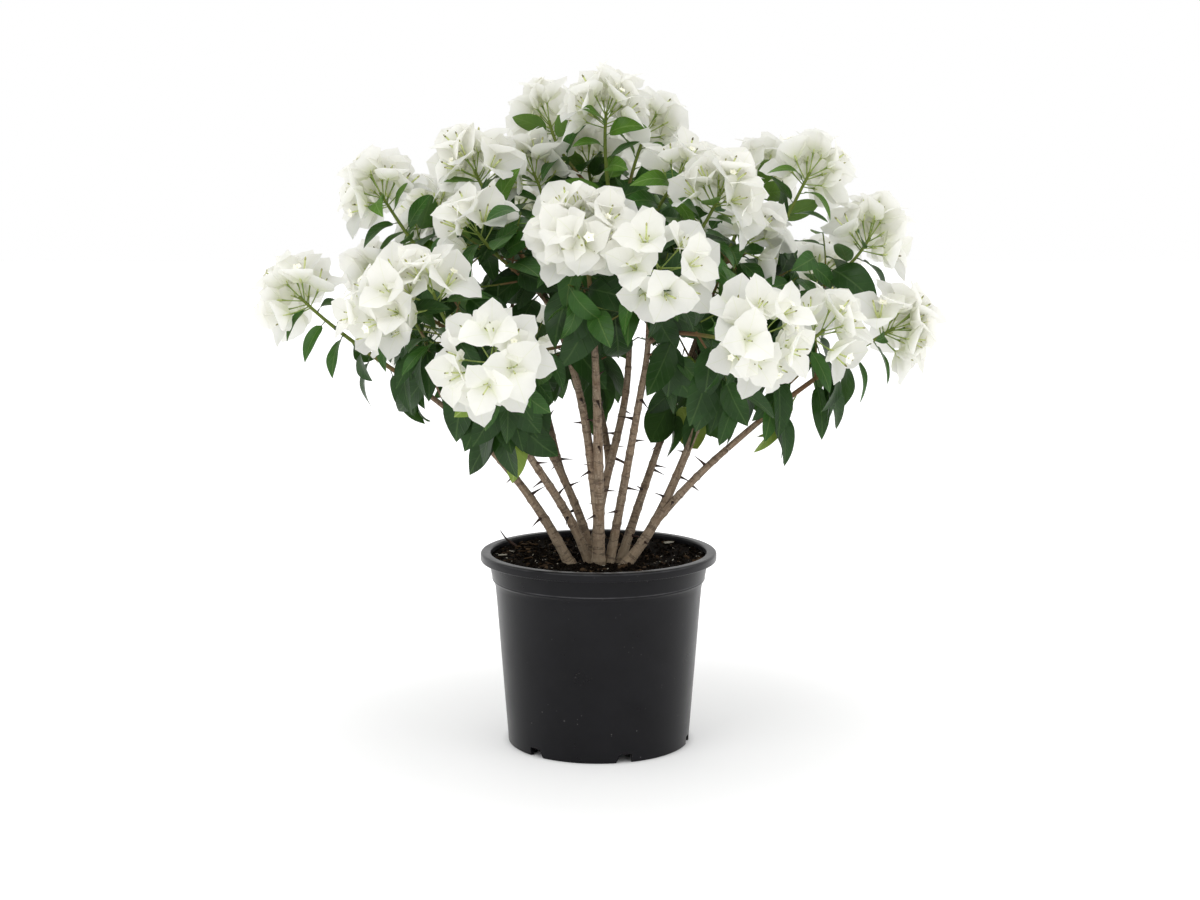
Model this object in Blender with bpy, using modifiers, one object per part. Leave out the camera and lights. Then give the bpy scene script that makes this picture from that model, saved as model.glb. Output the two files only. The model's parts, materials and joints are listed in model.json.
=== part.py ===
"""A bougainvillea bush in a nursery pot. Canes rise from the soil, and each of their tips leads into a
mass of leafy shoots that end in heads of papery bracts.
Metres, +Z up, origin at the centre of the pot's flat underside."""

import math
import random

import bmesh
import bpy
from mathutils import Matrix, Vector
from mathutils.bvhtree import BVHTree
from mathutils.geometry import interpolate_bezier

CLEARANCE = 0.0003

# Pot: a thin turned shell with a rolled lip, a collar under it and a base that stands on a disc and a foot.
POT_HEIGHT = 0.205
LIP_RADIUS = 0.125
LIP_DEPTH = 0.009
OPENING_RADIUS = 0.1142
COLLAR_DEPTH = 0.023
COLLAR_TOP_RADIUS = 0.1160
COLLAR_LOW_RADIUS = 0.1124
SHOULDER_RADIUS = 0.1094
FOOT_RADIUS = 0.0965
WALL = 0.0016
FOOT_WALL = 0.0026
DISC_RADIUS = 0.060
BASE_RAISE = 0.0075
POT_STEPS = 36

# Notches that drain the base, cut through the foot and into the raised ring of the floor. Their slant changes
# sides from one notch to the next.
NOTCHES = 6
NOTCH_WIDTH = 0.013
NOTCH_SLANT = 0.004
NOTCH_HEIGHT = 0.009
NOTCH_INWARD = 0.014
FIRST_NOTCH = math.radians(287)

# Soil, flat where the canes stand.
SOIL_TOP = 0.196
SOIL_EDGE = 0.199
SOIL_FLAT_RADIUS = 0.056

# Canes and limbs. A limb's first and last stretches are straight, as long as its lead.
CANE_SIDES = 6
CANE_STEPS = 8
CANE_FOOT = 0.0062
CANE_TIP = 0.0034
LEAD = 0.007
FLARE = 1.12
FLARE_SHARE = 0.10
THORN_LENGTH = 0.0145
THORN_RADIUS = 0.0013
THORN_SPACING = 0.026
THORN_FROM = 0.030

# Shoots, leaves and flower heads.
TWIG_SIDES = 3
TWIG_STEPS = 6
TWIG_END = 0.0017
LEAF_LENGTH = 0.060
LEAF_WIDTH = 0.036
LEAF_THICK = 0.0010
LEAF_WIDEST = 0.42
LEAF_SPACING = 0.0145
LEAF_FROM_HEAD = 0.018
LEAF_TRIES = 5
FRONT_TURNS = (-1.0, 1.0, -0.8)
SUN_AWAY = 0.35
SUN_FROM = 0.05
LOWEST_LEAF = 0.292
FAN = (math.radians(10), math.radians(76))
RING = (math.radians(40), math.radians(84))
OPENING = math.radians(48)
OPEN_FROM = math.radians(30)
HEAD_DEPTH = 0.016
PEDICEL = 0.020
PEDICEL_RADIUS = 0.0009
BRACT_LENGTH = 0.040
BRACT_OPEN = math.radians(50)
CUP_THICK = 0.0020
GOLDEN = math.radians(137.5)
SEED = 23

# Where the bush is looked at from, and the holes that one looks through from there. Each is given across, in
# height and as a radius, on the upright plane through the pot's axis.
EYE = Vector((0, -2.085, 0.6155))
GAPS = [
    (-0.125, 0.504, 0.009),
    (-0.107, 0.510, 0.006),
    (-0.070, 0.481, 0.006),
    (-0.084, 0.471, 0.006),
    (-0.051, 0.451, 0.005),
    (-0.037, 0.442, 0.005),
    (-0.058, 0.431, 0.004),
    (-0.063, 0.420, 0.005),
    (-0.007, 0.425, 0.004),
    (-0.033, 0.376, 0.004),
    (-0.034, 0.345, 0.012),
    (-0.018, 0.363, 0.003),
    (0.006, 0.402, 0.004),
    (0.036, 0.444, 0.005),
    (0.037, 0.405, 0.006),
    (0.063, 0.407, 0.004),
    (0.048, 0.363, 0.003),
    (0.026, 0.352, 0.008),
    (0.094, 0.423, 0.009),
    (0.117, 0.484, 0.008),
    (0.140, 0.514, 0.007),
    (-0.168, 0.447, 0.005),
    (-0.158, 0.460, 0.005),
    (-0.166, 0.423, 0.005),
    (-0.235, 0.371, 0.008),
    (-0.204, 0.338, 0.006),
    (-0.172, 0.353, 0.005),
    (-0.206, 0.304, 0.012),
    (-0.155, 0.306, 0.008),
    (-0.268, 0.377, 0.008),
    (0.168, 0.319, 0.005),
    (0.195, 0.306, 0.005),
    (0.140, 0.296, 0.008),
    (0.226, 0.332, 0.010),
    (0.215, 0.395, 0.006),
    (0.217, 0.346, 0.006),
    (0.158, 0.350, 0.004),
]

# A place is its azimuth in degrees, counted from +X towards +Y, its distance from the pot's axis and its
# height. Each cane has a foot on the soil, as azimuth and distance, a girth there as a share of CANE_FOOT,
# a bow that leans its foot outward, and a tip where its leaves begin.
CANES = {
    "left_low": {"foot": (214, 0.0375), "girth": 0.95, "bow": 0.00, "tip": (190, 0.108, 0.308)},
    "left_front": {"foot": (242, 0.0211), "girth": 0.85, "bow": -0.28, "tip": (228, 0.125, 0.345)},
    "left_back": {"foot": (215, 0.0079), "girth": 0.85, "bow": -0.10, "tip": (156, 0.073, 0.335)},
    "centre": {"foot": (270, 0.0300), "girth": 1.08, "bow": 0.00, "tip": (268, 0.100, 0.425)},
    "centre_back": {"foot": (108, 0.0110), "girth": 0.85, "bow": -0.45, "tip": (53, 0.053, 0.400)},
    "right_front": {"foot": (297, 0.0253), "girth": 0.80, "bow": 0.00, "tip": (303, 0.084, 0.398)},
    "right_back": {"foot": (333, 0.0263), "girth": 0.85, "bow": 0.00, "tip": (36, 0.087, 0.325)},
    "right_up": {"foot": (313, 0.0421), "girth": 0.95, "bow": 0.25, "tip": (2, 0.114, 0.358)},
}

# Limbs that fork off a cane, at a share of its length.
LIMBS = {
    "centre_left": {"cane": "centre", "at": 0.20, "tip": (243, 0.071, 0.425)},
    "right_low": {"cane": "right_up", "at": 0.28, "tip": (348, 0.139, 0.320)},
    "back_left": {"cane": "left_back", "at": 0.55, "tip": (126, 0.122, 0.370)},
    "back": {"cane": "centre_back", "at": 0.45, "tip": (92, 0.118, 0.372)},
    "back_right": {"cane": "right_back", "at": 0.55, "tip": (48, 0.138, 0.372)},
}

# The shoots of each mass end in heads, given as a place, how far the head looks up in degrees, and its flowers.
# The first shoot leads, and the others branch from it.
HEADS = {
    "left_low": [(180, 0.312, 0.474, 44, 8), (219, 0.264, 0.479, 24, 6)],
    "left_front": [(249, 0.280, 0.432, 12, 6), (227, 0.232, 0.490, 66, 7)],
    "left_back": [(174, 0.230, 0.581, 58, 8), (155, 0.264, 0.487, 44, 6), (146, 0.222, 0.560, 50, 7)],
    "centre": [(266, 0.190, 0.548, 42, 11)],
    "centre_left": [(191, 0.129, 0.605, 66, 8), (216, 0.150, 0.545, 50, 4), (156, 0.075, 0.602, 62, 5)],
    "centre_back": [
        (10, 0.008, 0.664, 86, 8),
        (328, 0.095, 0.597, 50, 6),
        (98, 0.081, 0.614, 60, 5),
        (50, 0.080, 0.647, 58, 6),
        (131, 0.080, 0.656, 68, 7),
    ],
    "right_front": [(284, 0.240, 0.516, 20, 5), (301, 0.290, 0.454, 12, 6), (320, 0.156, 0.580, 58, 8)],
    "right_back": [(33, 0.212, 0.598, 60, 6), (26, 0.273, 0.490, 44, 7)],
    "right_up": [(6, 0.222, 0.602, 62, 8), (5, 0.286, 0.534, 58, 8), (351, 0.156, 0.532, 44, 5)],
    "right_low": [(354, 0.306, 0.444, 32, 8), (336, 0.246, 0.448, 40, 4)],
    "back_left": [(128, 0.300, 0.450, 24, 7), (116, 0.226, 0.560, 48, 7), (140, 0.292, 0.436, 12, 5)],
    "back": [(92, 0.306, 0.456, 26, 7), (88, 0.196, 0.596, 60, 8), (108, 0.300, 0.395, 10, 5)],
    "back_right": [(56, 0.306, 0.462, 26, 7), (62, 0.222, 0.570, 50, 7), (42, 0.294, 0.436, 12, 5)],
}

COLOURS = {
    "pot": ((0.018, 0.018, 0.020, 1), 0.5),
    "soil": ((0.020, 0.014, 0.010, 1), 0.95),
    "bark": ((0.23, 0.17, 0.12, 1), 0.8),
    "foliage": ((0.045, 0.14, 0.035, 1), 0.5),
}


def clear_scene():
    for obj in list(bpy.data.objects):
        bpy.data.objects.remove(obj)


def make_collection(name, hidden=False):
    made = bpy.data.collections.new(name)
    bpy.context.scene.collection.children.link(made)
    made.hide_render = hidden
    return made


def make_material(name):
    colour, roughness = COLOURS[name]
    made = bpy.data.materials.new(name)
    made.use_nodes = True
    shader = made.node_tree.nodes["Principled BSDF"]
    shader.inputs["Base Color"].default_value = colour
    shader.inputs["Roughness"].default_value = roughness
    return made


def add_object(name, data, collection, material=None):
    obj = bpy.data.objects.new(name, data)
    collection.objects.link(obj)
    if material:
        data.materials.append(material)
    return obj


def helper(obj):
    obj.hide_render = True
    obj.display_type = "WIRE"
    return obj


def evaluated_mesh(obj):
    bpy.context.view_layer.update()
    graph = bpy.context.evaluated_depsgraph_get()
    mesh = bpy.data.meshes.new_from_object(obj.evaluated_get(graph))
    mesh.transform(obj.matrix_world)
    return mesh


def place(azimuth, reach, height):
    turn = math.radians(azimuth)
    return Vector((reach * math.cos(turn), reach * math.sin(turn), height))


# Turned pieces


def turned(name, profile, collection, material):
    """A solid of revolution. The profile starts and ends on the axis and runs down its outer side."""
    mesh = bpy.data.meshes.new(name)
    edges = [(i, i + 1) for i in range(len(profile) - 1)]
    mesh.from_pydata([(r, 0, z) for r, z in profile], edges, [])
    obj = add_object(name, mesh, collection, material)
    screw = obj.modifiers.new("turn", "SCREW")
    screw.steps = POT_STEPS
    screw.render_steps = POT_STEPS
    screw.use_merge_vertices = True
    screw.merge_threshold = 0.00001
    screw.use_smooth_shade = True
    return obj


def inside_profile():
    """The pot's inner side, from the axis over the floor and up to the opening."""
    collar_low = POT_HEIGHT - LIP_DEPTH - COLLAR_DEPTH
    floor = BASE_RAISE + WALL
    return [
        (0, WALL),
        (DISC_RADIUS, WALL),
        (DISC_RADIUS + 0.004, floor),
        (FOOT_RADIUS - FOOT_WALL, floor),
        (SHOULDER_RADIUS - WALL, collar_low),
        (COLLAR_LOW_RADIUS - WALL, collar_low + 0.002),
        (OPENING_RADIUS, POT_HEIGHT - LIP_DEPTH),
    ]


def pot_profile():
    collar_low = POT_HEIGHT - LIP_DEPTH - COLLAR_DEPTH
    lip_low = POT_HEIGHT - LIP_DEPTH
    return inside_profile() + [
        (OPENING_RADIUS, POT_HEIGHT - 0.0015),
        (OPENING_RADIUS + 0.0015, POT_HEIGHT),
        (LIP_RADIUS - 0.0025, POT_HEIGHT),
        (LIP_RADIUS, POT_HEIGHT - 0.0025),
        (LIP_RADIUS - 0.0005, lip_low),
        (COLLAR_TOP_RADIUS, lip_low),
        (COLLAR_LOW_RADIUS, collar_low + 0.003),
        (SHOULDER_RADIUS, collar_low),
        (FOOT_RADIUS, 0.003),
        (FOOT_RADIUS - 0.0012, 0),
        (FOOT_RADIUS - FOOT_WALL - 0.0012, 0),
        (FOOT_RADIUS - FOOT_WALL - 0.002, BASE_RAISE),
        (DISC_RADIUS + 0.0035, BASE_RAISE),
        (DISC_RADIUS, 0),
        (0, 0),
    ]


def make_pot(collection, cutters, material):
    pot = turned("pot", pot_profile(), collection, material)
    for index in range(NOTCHES):
        turn = FIRST_NOTCH + index * math.tau / NOTCHES
        bm = bmesh.new()
        middle = FOOT_RADIUS - NOTCH_INWARD / 2 + 0.003
        size = Matrix.Diagonal((NOTCH_INWARD, NOTCH_WIDTH, 2 * NOTCH_HEIGHT, 1))
        bmesh.ops.create_cube(bm, size=1, matrix=Matrix.Translation((middle, 0, 0)) @ size)
        side = 1 if index % 2 else -1
        slanted = [v for v in bm.verts if v.co.z < 0 and v.co.y * side > 0]
        bmesh.ops.translate(bm, verts=slanted, vec=(0, side * 2 * NOTCH_SLANT, 0))
        bmesh.ops.rotate(bm, verts=bm.verts, matrix=Matrix.Rotation(turn, 3, "Z"))
        mesh = bpy.data.meshes.new("notch")
        bm.to_mesh(mesh)
        bm.free()
        helper(add_object(f"notch_{index}", mesh, cutters))
    cut = pot.modifiers.new("notches", "BOOLEAN")
    cut.operation = "DIFFERENCE"
    cut.operand_type = "COLLECTION"
    cut.collection = cutters
    return pot


def make_soil(collection, material):
    """Fills the pot to the clearance from its floor and wall."""
    inner = [(max(0, r - 1.4 * CLEARANCE), z + CLEARANCE) for r, z in inside_profile()]
    surface = [(0, SOIL_TOP), (SOIL_FLAT_RADIUS, SOIL_TOP), (inner[-1][0], SOIL_EDGE)]
    return turned("soil", surface + inner[::-1], collection, material)


# Limbs


def make_profiles(cutters):
    """The regular polygons, one unit in radius, that limbs and twigs are swept with."""
    made = {}
    for sides in (TWIG_SIDES, CANE_SIDES):
        curve = bpy.data.curves.new(f"profile_{sides}", "CURVE")
        spline = curve.splines.new("POLY")
        spline.points.add(sides - 1)
        spline.use_cyclic_u = True
        for index, point in enumerate(spline.points):
            turn = math.tau * index / sides
            point.co = (math.cos(turn), math.sin(turn), 0, 1)
        made[sides] = helper(add_object(f"profile_{sides}", curve, cutters))
    return made


def tube_mesh(name, points, radii, profile):
    """A tapering limb along the points, closed at both ends, as a mesh."""
    curve = bpy.data.curves.new(name, "CURVE")
    curve.dimensions = "3D"
    curve.bevel_mode = "OBJECT"
    curve.bevel_object = profile
    curve.use_fill_caps = True
    spline = curve.splines.new("POLY")
    spline.points.add(len(points) - 1)
    for point, at, radius in zip(spline.points, points, radii):
        point.co = (*at, 1)
        point.radius = radius
    guide = add_object(name + "_guide", curve, bpy.context.scene.collection)
    mesh = evaluated_mesh(guide)
    bpy.data.objects.remove(guide)
    bm = bmesh.new()
    bm.from_mesh(mesh)
    bmesh.ops.remove_doubles(bm, verts=bm.verts, dist=0.00001)
    bmesh.ops.recalc_face_normals(bm, faces=bm.faces)
    bm.to_mesh(mesh)
    bm.free()
    return mesh


def cut_level(mesh, height):
    """Cuts the mesh off flat at a height and closes the cut."""
    bm = bmesh.new()
    bm.from_mesh(mesh)
    parts = bm.verts[:] + bm.edges[:] + bm.faces[:]
    cut = bmesh.ops.bisect_plane(
        bm, geom=parts, plane_co=(0, 0, height), plane_no=(0, 0, -1), clear_outer=True
    )
    rim = [e for e in cut["geom_cut"] if isinstance(e, bmesh.types.BMEdge)]
    bmesh.ops.contextual_create(bm, geom=rim)
    bmesh.ops.recalc_face_normals(bm, faces=bm.faces)
    bm.to_mesh(mesh)
    bm.free()


def smooth_path(start, start_way, end, end_way, steps):
    """Points on the curve that leaves start along start_way and arrives at end along end_way. Its first and
    last stretches are straight, so a limb's end is square to the way it points."""
    first, last = start + start_way * LEAD, end - end_way * LEAD
    pull = 0.36 * (last - first).length
    return [
        start,
        *interpolate_bezier(first, first + start_way * pull, last - end_way * pull, last, steps - 1),
        end,
    ]


def bend_ways(start, end, beyond, bow=0):
    """The directions of a limb at its start and end, so that it bends evenly towards what is beyond it. A
    bow leans its start outward."""
    chord = (end - start).normalized()
    end_way = (chord + (beyond - end).normalized() * 0.8).normalized()
    outward = Vector((end.x, end.y, 0)).normalized()
    return (2.1 * chord - end_way + outward * bow).normalized(), end_way


def cane_radius(name):
    """The radius of a cane as a function of the share of its length."""
    foot = CANE_FOOT * CANES[name]["girth"]

    def radius_at(share):
        flare = 1 + (FLARE - 1) * max(0, 1 - share / FLARE_SHARE)
        return flare * (foot + (CANE_TIP - foot) * share)

    return radius_at


def length_of(path):
    return sum((b - a).length for a, b in zip(path, path[1:]))


def along(path, share):
    """The point at a share of the path's length, with the direction there."""
    left = share * length_of(path)
    for start, end in zip(path, path[1:]):
        way = end - start
        if left <= way.length:
            break
        left -= way.length
    return start + way.normalized() * min(left, way.length), way.normalized()


def radii_along(path, radius_at):
    return [radius_at(length_of(path[: index + 1]) / length_of(path)) for index in range(len(path))]


def sideways(way, turn):
    """A direction square to way, turned about it."""
    start = way.cross(Vector((0, 0, 1)) if abs(way.z) < 0.95 else Vector((1, 0, 0))).normalized()
    return Matrix.Rotation(turn, 3, way) @ start


def cone_mesh(name, base, way, length, radius, end_radius):
    bm = bmesh.new()
    turn = way.to_track_quat("Z", "Y").to_matrix().to_4x4()
    middle = Matrix.Translation(base + way * length / 2)
    bmesh.ops.create_cone(
        bm, segments=3, radius1=radius, radius2=end_radius, depth=length, cap_ends=True, matrix=middle @ turn
    )
    bmesh.ops.remove_doubles(bm, verts=bm.verts, dist=0.00001)
    mesh = bpy.data.meshes.new(name)
    bm.to_mesh(mesh)
    bm.free()
    return mesh


def thorn_meshes(path, radius_at, others):
    """Thorns in a slow spiral up a limb, each a little raised from square to it. One that would touch
    another limb is left out."""
    length = length_of(path)
    made = []
    for index in range(int((length - THORN_FROM) / THORN_SPACING)):
        share = (THORN_FROM + index * THORN_SPACING) / length
        at, way = along(path, share)
        out = sideways(way, index * GOLDEN)
        base = at + out * radius_at(share) * 0.4
        probe = tree_of(cone_mesh("probe", base, out, 1.1 * THORN_LENGTH, 2 * THORN_RADIUS, THORN_RADIUS))
        if not any(probe.overlap(other) for other in others):
            made.append(cone_mesh("thorn", base, out, THORN_LENGTH, THORN_RADIUS, 0))
    return made


def joined(mesh, others, operation="UNION", solver="EXACT"):
    """One Boolean on a collection of the other meshes. The largest shell is kept, so scraps and sealed
    hollows are dropped."""
    work = make_collection("work")
    base = add_object("base", mesh, bpy.context.scene.collection)
    for index, other in enumerate(others):
        add_object(f"piece_{index}", other, work)
    boolean = base.modifiers.new("join", "BOOLEAN")
    boolean.operation = operation
    boolean.operand_type = "COLLECTION"
    boolean.collection = work
    boolean.solver = solver
    made = evaluated_mesh(base)
    for obj in [base, *work.objects]:
        bpy.data.objects.remove(obj)
    bpy.data.collections.remove(work)
    keep_largest_shell(made)
    return made


def keep_largest_shell(mesh):
    bm = bmesh.new()
    bm.from_mesh(mesh)
    shells = []
    left = set(bm.verts)
    while left:
        shell, edge = set(), [left.pop()]
        while edge:
            vertex = edge.pop()
            shell.add(vertex)
            near = {e.other_vert(vertex) for e in vertex.link_edges} & left
            left -= near
            edge.extend(near)
        shells.append(shell)
    shells.sort(key=len)
    scraps = [v for shell in shells[:-1] for v in shell]
    bmesh.ops.delete(bm, geom=scraps, context="VERTS")
    bm.to_mesh(mesh)
    bm.free()


def bare_cane(name, profile):
    cane, radius_at = CANES[name], cane_radius(name)
    foot, tip = place(*cane["foot"], SOIL_TOP), place(*cane["tip"])
    start_way, end_way = bend_ways(foot, tip, place(*HEADS[name][0][:3]), cane["bow"])
    path = smooth_path(foot, start_way, tip, end_way, CANE_STEPS)
    buried = foot - start_way * 0.012
    mesh = tube_mesh(name, [buried, *path], [radius_at(0), *radii_along(path, radius_at)], profile)
    cut_level(mesh, SOIL_TOP + CLEARANCE)
    return {"path": path, "way": end_way, "radius_at": radius_at, "mesh": mesh}


def bare_limb(name, parent, profile):
    """A limb that starts on its cane's axis and is trimmed clear of the cane."""
    limb = LIMBS[name]
    fork, fork_way = along(parent["path"], limb["at"])
    tip = place(*limb["tip"])
    end_way = bend_ways(fork, tip, place(*HEADS[name][0][:3]))[1]
    start_way = ((tip - fork).normalized() + 0.3 * fork_way).normalized()
    path = smooth_path(fork, start_way, tip, end_way, CANE_STEPS)
    start_radius = 0.86 * parent["radius_at"](limb["at"])

    def radius_at(share):
        return start_radius + (CANE_TIP - start_radius) * share

    mesh = tube_mesh(name, path, radii_along(path, radius_at), profile)
    wide = [radius + 1.4 * CLEARANCE for radius in radii_along(parent["path"], parent["radius_at"])]
    saddle = tube_mesh("saddle", parent["path"], wide, profile)
    mesh = joined(mesh, [saddle], "DIFFERENCE")
    return {"path": path, "way": end_way, "radius_at": radius_at, "mesh": mesh}


def make_limbs(collection, profiles, material):
    """Every cane and limb, by name."""
    profile = profiles[CANE_SIDES]
    limbs = {name: bare_cane(name, profile) for name in CANES}
    for name, limb in LIMBS.items():
        limbs[name] = bare_limb(name, limbs[limb["cane"]], profile)
    trees = {name: tree_of(limb["mesh"]) for name, limb in limbs.items()}
    for name, limb in limbs.items():
        others = [tree for other, tree in trees.items() if other != name]
        thorns = thorn_meshes(limb["path"], limb["radius_at"], others)
        label = ("cane_" if name in CANES else "limb_") + name
        limb["solid"] = add_object(label, joined(limb["mesh"], thorns), collection, material)
    return limbs


# Masses of foliage


def leaf_mesh(base, way, up, length, width, thick):
    """A leaf of eight faces: base, tip and two sides round a ridge above and below."""
    bm = bmesh.new()
    bmesh.ops.create_uvsphere(bm, u_segments=4, v_segments=2, radius=1)
    across = way.cross(up).normalized()
    rise = across.cross(way).normalized()
    for vertex in bm.verts:
        x, y, z = vertex.co
        share = LEAF_WIDEST + (1 - LEAF_WIDEST) * x if x > 0.5 else LEAF_WIDEST * (1 + min(0, round(x)))
        lift = 0.06 * length * abs(y) - 0.10 * length * max(0, x) ** 2 + z * thick / 2
        vertex.co = base + way * share * length + across * y * width / 2 + rise * lift
    mesh = bpy.data.meshes.new("leaf")
    bmesh.ops.recalc_face_normals(bm, faces=bm.faces)
    bm.to_mesh(mesh)
    bm.free()
    return mesh


def flower_mesh(base, way, turn, pedicel, bract, thick):
    """A flower on its three-sided pedicel. The three bracts round it are one cup of three pointed lobes."""
    side = sideways(way, turn)
    other = way.cross(side)

    def ring(count, radius, height, start=0.0):
        turns = [start + math.tau * index / count for index in range(count)]
        return [base + way * height + (side * math.cos(t) + other * math.sin(t)) * radius for t in turns]

    points = ring(3, PEDICEL_RADIUS, 0) + ring(3, PEDICEL_RADIUS, pedicel)
    for index in range(9):
        is_tip = index % 3 == 0
        reach, opening = (bract, BRACT_OPEN) if is_tip else (0.78 * bract, 0.84 * BRACT_OPEN)
        height = pedicel + reach * math.cos(opening)
        points += ring(1, reach * math.sin(opening), height, index * math.tau / 9)
    points.append(base + way * (pedicel + thick))
    faces = [(2, 1, 0)]
    for index in range(3):
        after = (index + 1) % 3
        tip, lobe, back = 6 + 3 * index, 7 + 3 * index, 6 + (3 * index + 8) % 9
        faces += [(index, after, 3 + after, 3 + index), (3 + index, tip, back), (3 + index, lobe, tip)]
        faces += [(3 + index, lobe + 1, lobe), (3 + index, 3 + after, lobe + 1)]
    faces += [(15, 6 + index, 6 + (index + 1) % 9) for index in range(9)]
    mesh = bpy.data.meshes.new("flower")
    mesh.from_pydata(points, [], faces)
    return mesh


def tree_of(mesh):
    return BVHTree.FromPolygons([v.co for v in mesh.vertices], [p.vertices for p in mesh.polygons])


class Standing:
    """What has been placed so far, so that nothing new touches a limb or another mass."""

    def __init__(self):
        self.placed = []

    def add(self, owner, mesh):
        points = [v.co for v in mesh.vertices]
        middle = sum(points, Vector()) / len(points)
        reach = max((p - middle).length for p in points)
        self.placed.append((owner, tree_of(mesh), middle, reach))

    def is_free(self, mesh, skip=()):
        points = [v.co for v in mesh.vertices]
        middle = sum(points, Vector()) / len(points)
        reach = max((p - middle).length for p in points)
        tree = tree_of(mesh)
        for owner, other, at, size in self.placed:
            if owner in skip or (at - middle).length > reach + size:
                continue
            if tree.overlap(other):
                return False
        return True


def shoot_paths(name, limb):
    """A mass's shoots: the leader from its limb's tip, and the others from the leader."""
    start = limb["path"][-1] + limb["way"] * CLEARANCE
    shoots = []
    for index, (azimuth, reach, height, look_up, flowers) in enumerate(HEADS[name]):
        end, tilt = place(azimuth, reach, height), math.radians(look_up)
        end_way = place(azimuth, math.cos(tilt), math.sin(tilt))
        if index == 0:
            path = smooth_path(start, limb["way"], end, end_way, TWIG_STEPS)
            radius = CANE_TIP
        else:
            share = 0.10 + 0.11 * index
            fork, fork_way = along(shoots[0]["path"], share)
            start_way = ((end - fork).normalized() + 0.7 * fork_way).normalized()
            path = smooth_path(fork, start_way, end, end_way, TWIG_STEPS)
            radius = 0.8 * (CANE_TIP + (TWIG_END - CANE_TIP) * share)
        shoots.append({"path": path, "radius": radius, "way": end_way, "flowers": flowers})
    return shoots


def flower_places(shoot, index):
    """Where each pedicel of a head leaves the shoot, and its direction. The lower it starts, the wider it
    opens. A head that faces front or back is a ring, and any other is open to the front."""
    tip, way = shoot["path"][-1], shoot["way"]
    is_ring = abs(way.y) > 0.5
    first, last = RING if is_ring else FAN
    front = (Vector((0, -1, 0)) + way * way.y).normalized()
    found = []
    for number in range(shoot["flowers"]):
        share = number / (shoot["flowers"] - 1)
        polar = first + (last - first) * share**0.75
        out = sideways(way, number * GOLDEN + index)
        if is_ring or polar < OPEN_FROM or out.angle(front) > OPENING:
            direction = (way * math.cos(polar) + out * math.sin(polar)).normalized()
            found.append((tip - way * (0.001 + HEAD_DEPTH * share), direction))
    return found


def twig_mesh(shoot, profile, extra=0.0):
    start = shoot["radius"]
    radii = radii_along(shoot["path"], lambda share: start + (TWIG_END - start) * share + extra)
    return tube_mesh("twig", shoot["path"], radii, profile)


def grow_twigs(crown, shoots, profile):
    """The twigs of every mass. One that would touch a limb or another mass is left out, with its shoot."""
    twigs = {}
    for name, found in shoots.items():
        twigs[name] = []
        for shoot in list(found):
            if not crown.is_free(twig_mesh(shoot, profile, 0.0006), (name, name + "_limb")):
                print("left out a shoot of", name, found.index(shoot))
                found.remove(shoot)
                continue
            twigs[name].append(twig_mesh(shoot, profile))
        for twig in twigs[name]:
            crown.add(name, twig)
    return twigs


def grow_flowers(crown, shoots):
    pieces = {name: [] for name in shoots}
    for name, found in shoots.items():
        for index, shoot in enumerate(found):
            for number, (base, way) in enumerate(flower_places(shoot, index)):
                clear = base + way * 0.006
                probe = flower_mesh(clear, way, number, PEDICEL - 0.0065, 1.03 * BRACT_LENGTH, 0.004)
                if crown.is_free(probe):
                    pieces[name].append(flower_mesh(base, way, number, PEDICEL, BRACT_LENGTH, CUP_THICK))
                    crown.add(name, probe)
    return pieces


def smooth_step(value, low, high):
    share = min(1, max(0, (value - low) / (high - low)))
    return share * share * (3 - 2 * share)


def leaf_ways(at, shoot_way, turn, share):
    """A leaf's direction and its upper side. It leans out from the shoot, hangs more the lower it grows on
    the bush and on its shoot, and turns its upper side to the open, to the front or to the back."""
    hang = 0.1 + 1.6 * smooth_step(at.z, 0.57, 0.42) * (1 - 0.7 * smooth_step(share, 0.45, 0.95))
    rise = 0.4 + 0.35 * smooth_step(at.z, 0.48, 0.62)
    way = (sideways(shoot_way, turn) + rise * shoot_way - Vector((0, 0, hang))).normalized()
    sun = Vector((at.x, at.y + math.copysign(SUN_AWAY, at.y - SUN_FROM), 0)).normalized()
    outside = sun * max(hang, 0.6) + Vector((0, 0, 0.7)) + 0.4 * shoot_way
    return way, (outside - way * outside.dot(way)).normalized()


def front_turn(way):
    """The turn about way that faces the front."""
    start = sideways(way, 0)
    return math.atan2(-way.cross(start).y, -start.y)


def is_in_gap(base, way, up, long, wide):
    across = way.cross(up).normalized()
    for step in range(1, 8):
        for side in (-0.5, 0, 0.5):
            spot = base + way * long * step / 8 + across * wide * side * math.sin(math.pi * step / 8)
            ahead = spot - EYE
            seen = EYE - ahead * (EYE.y / ahead.y)
            if any(math.hypot(seen.x - x, seen.z - z) < radius for x, z, radius in GAPS):
                return True
    return False


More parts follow.
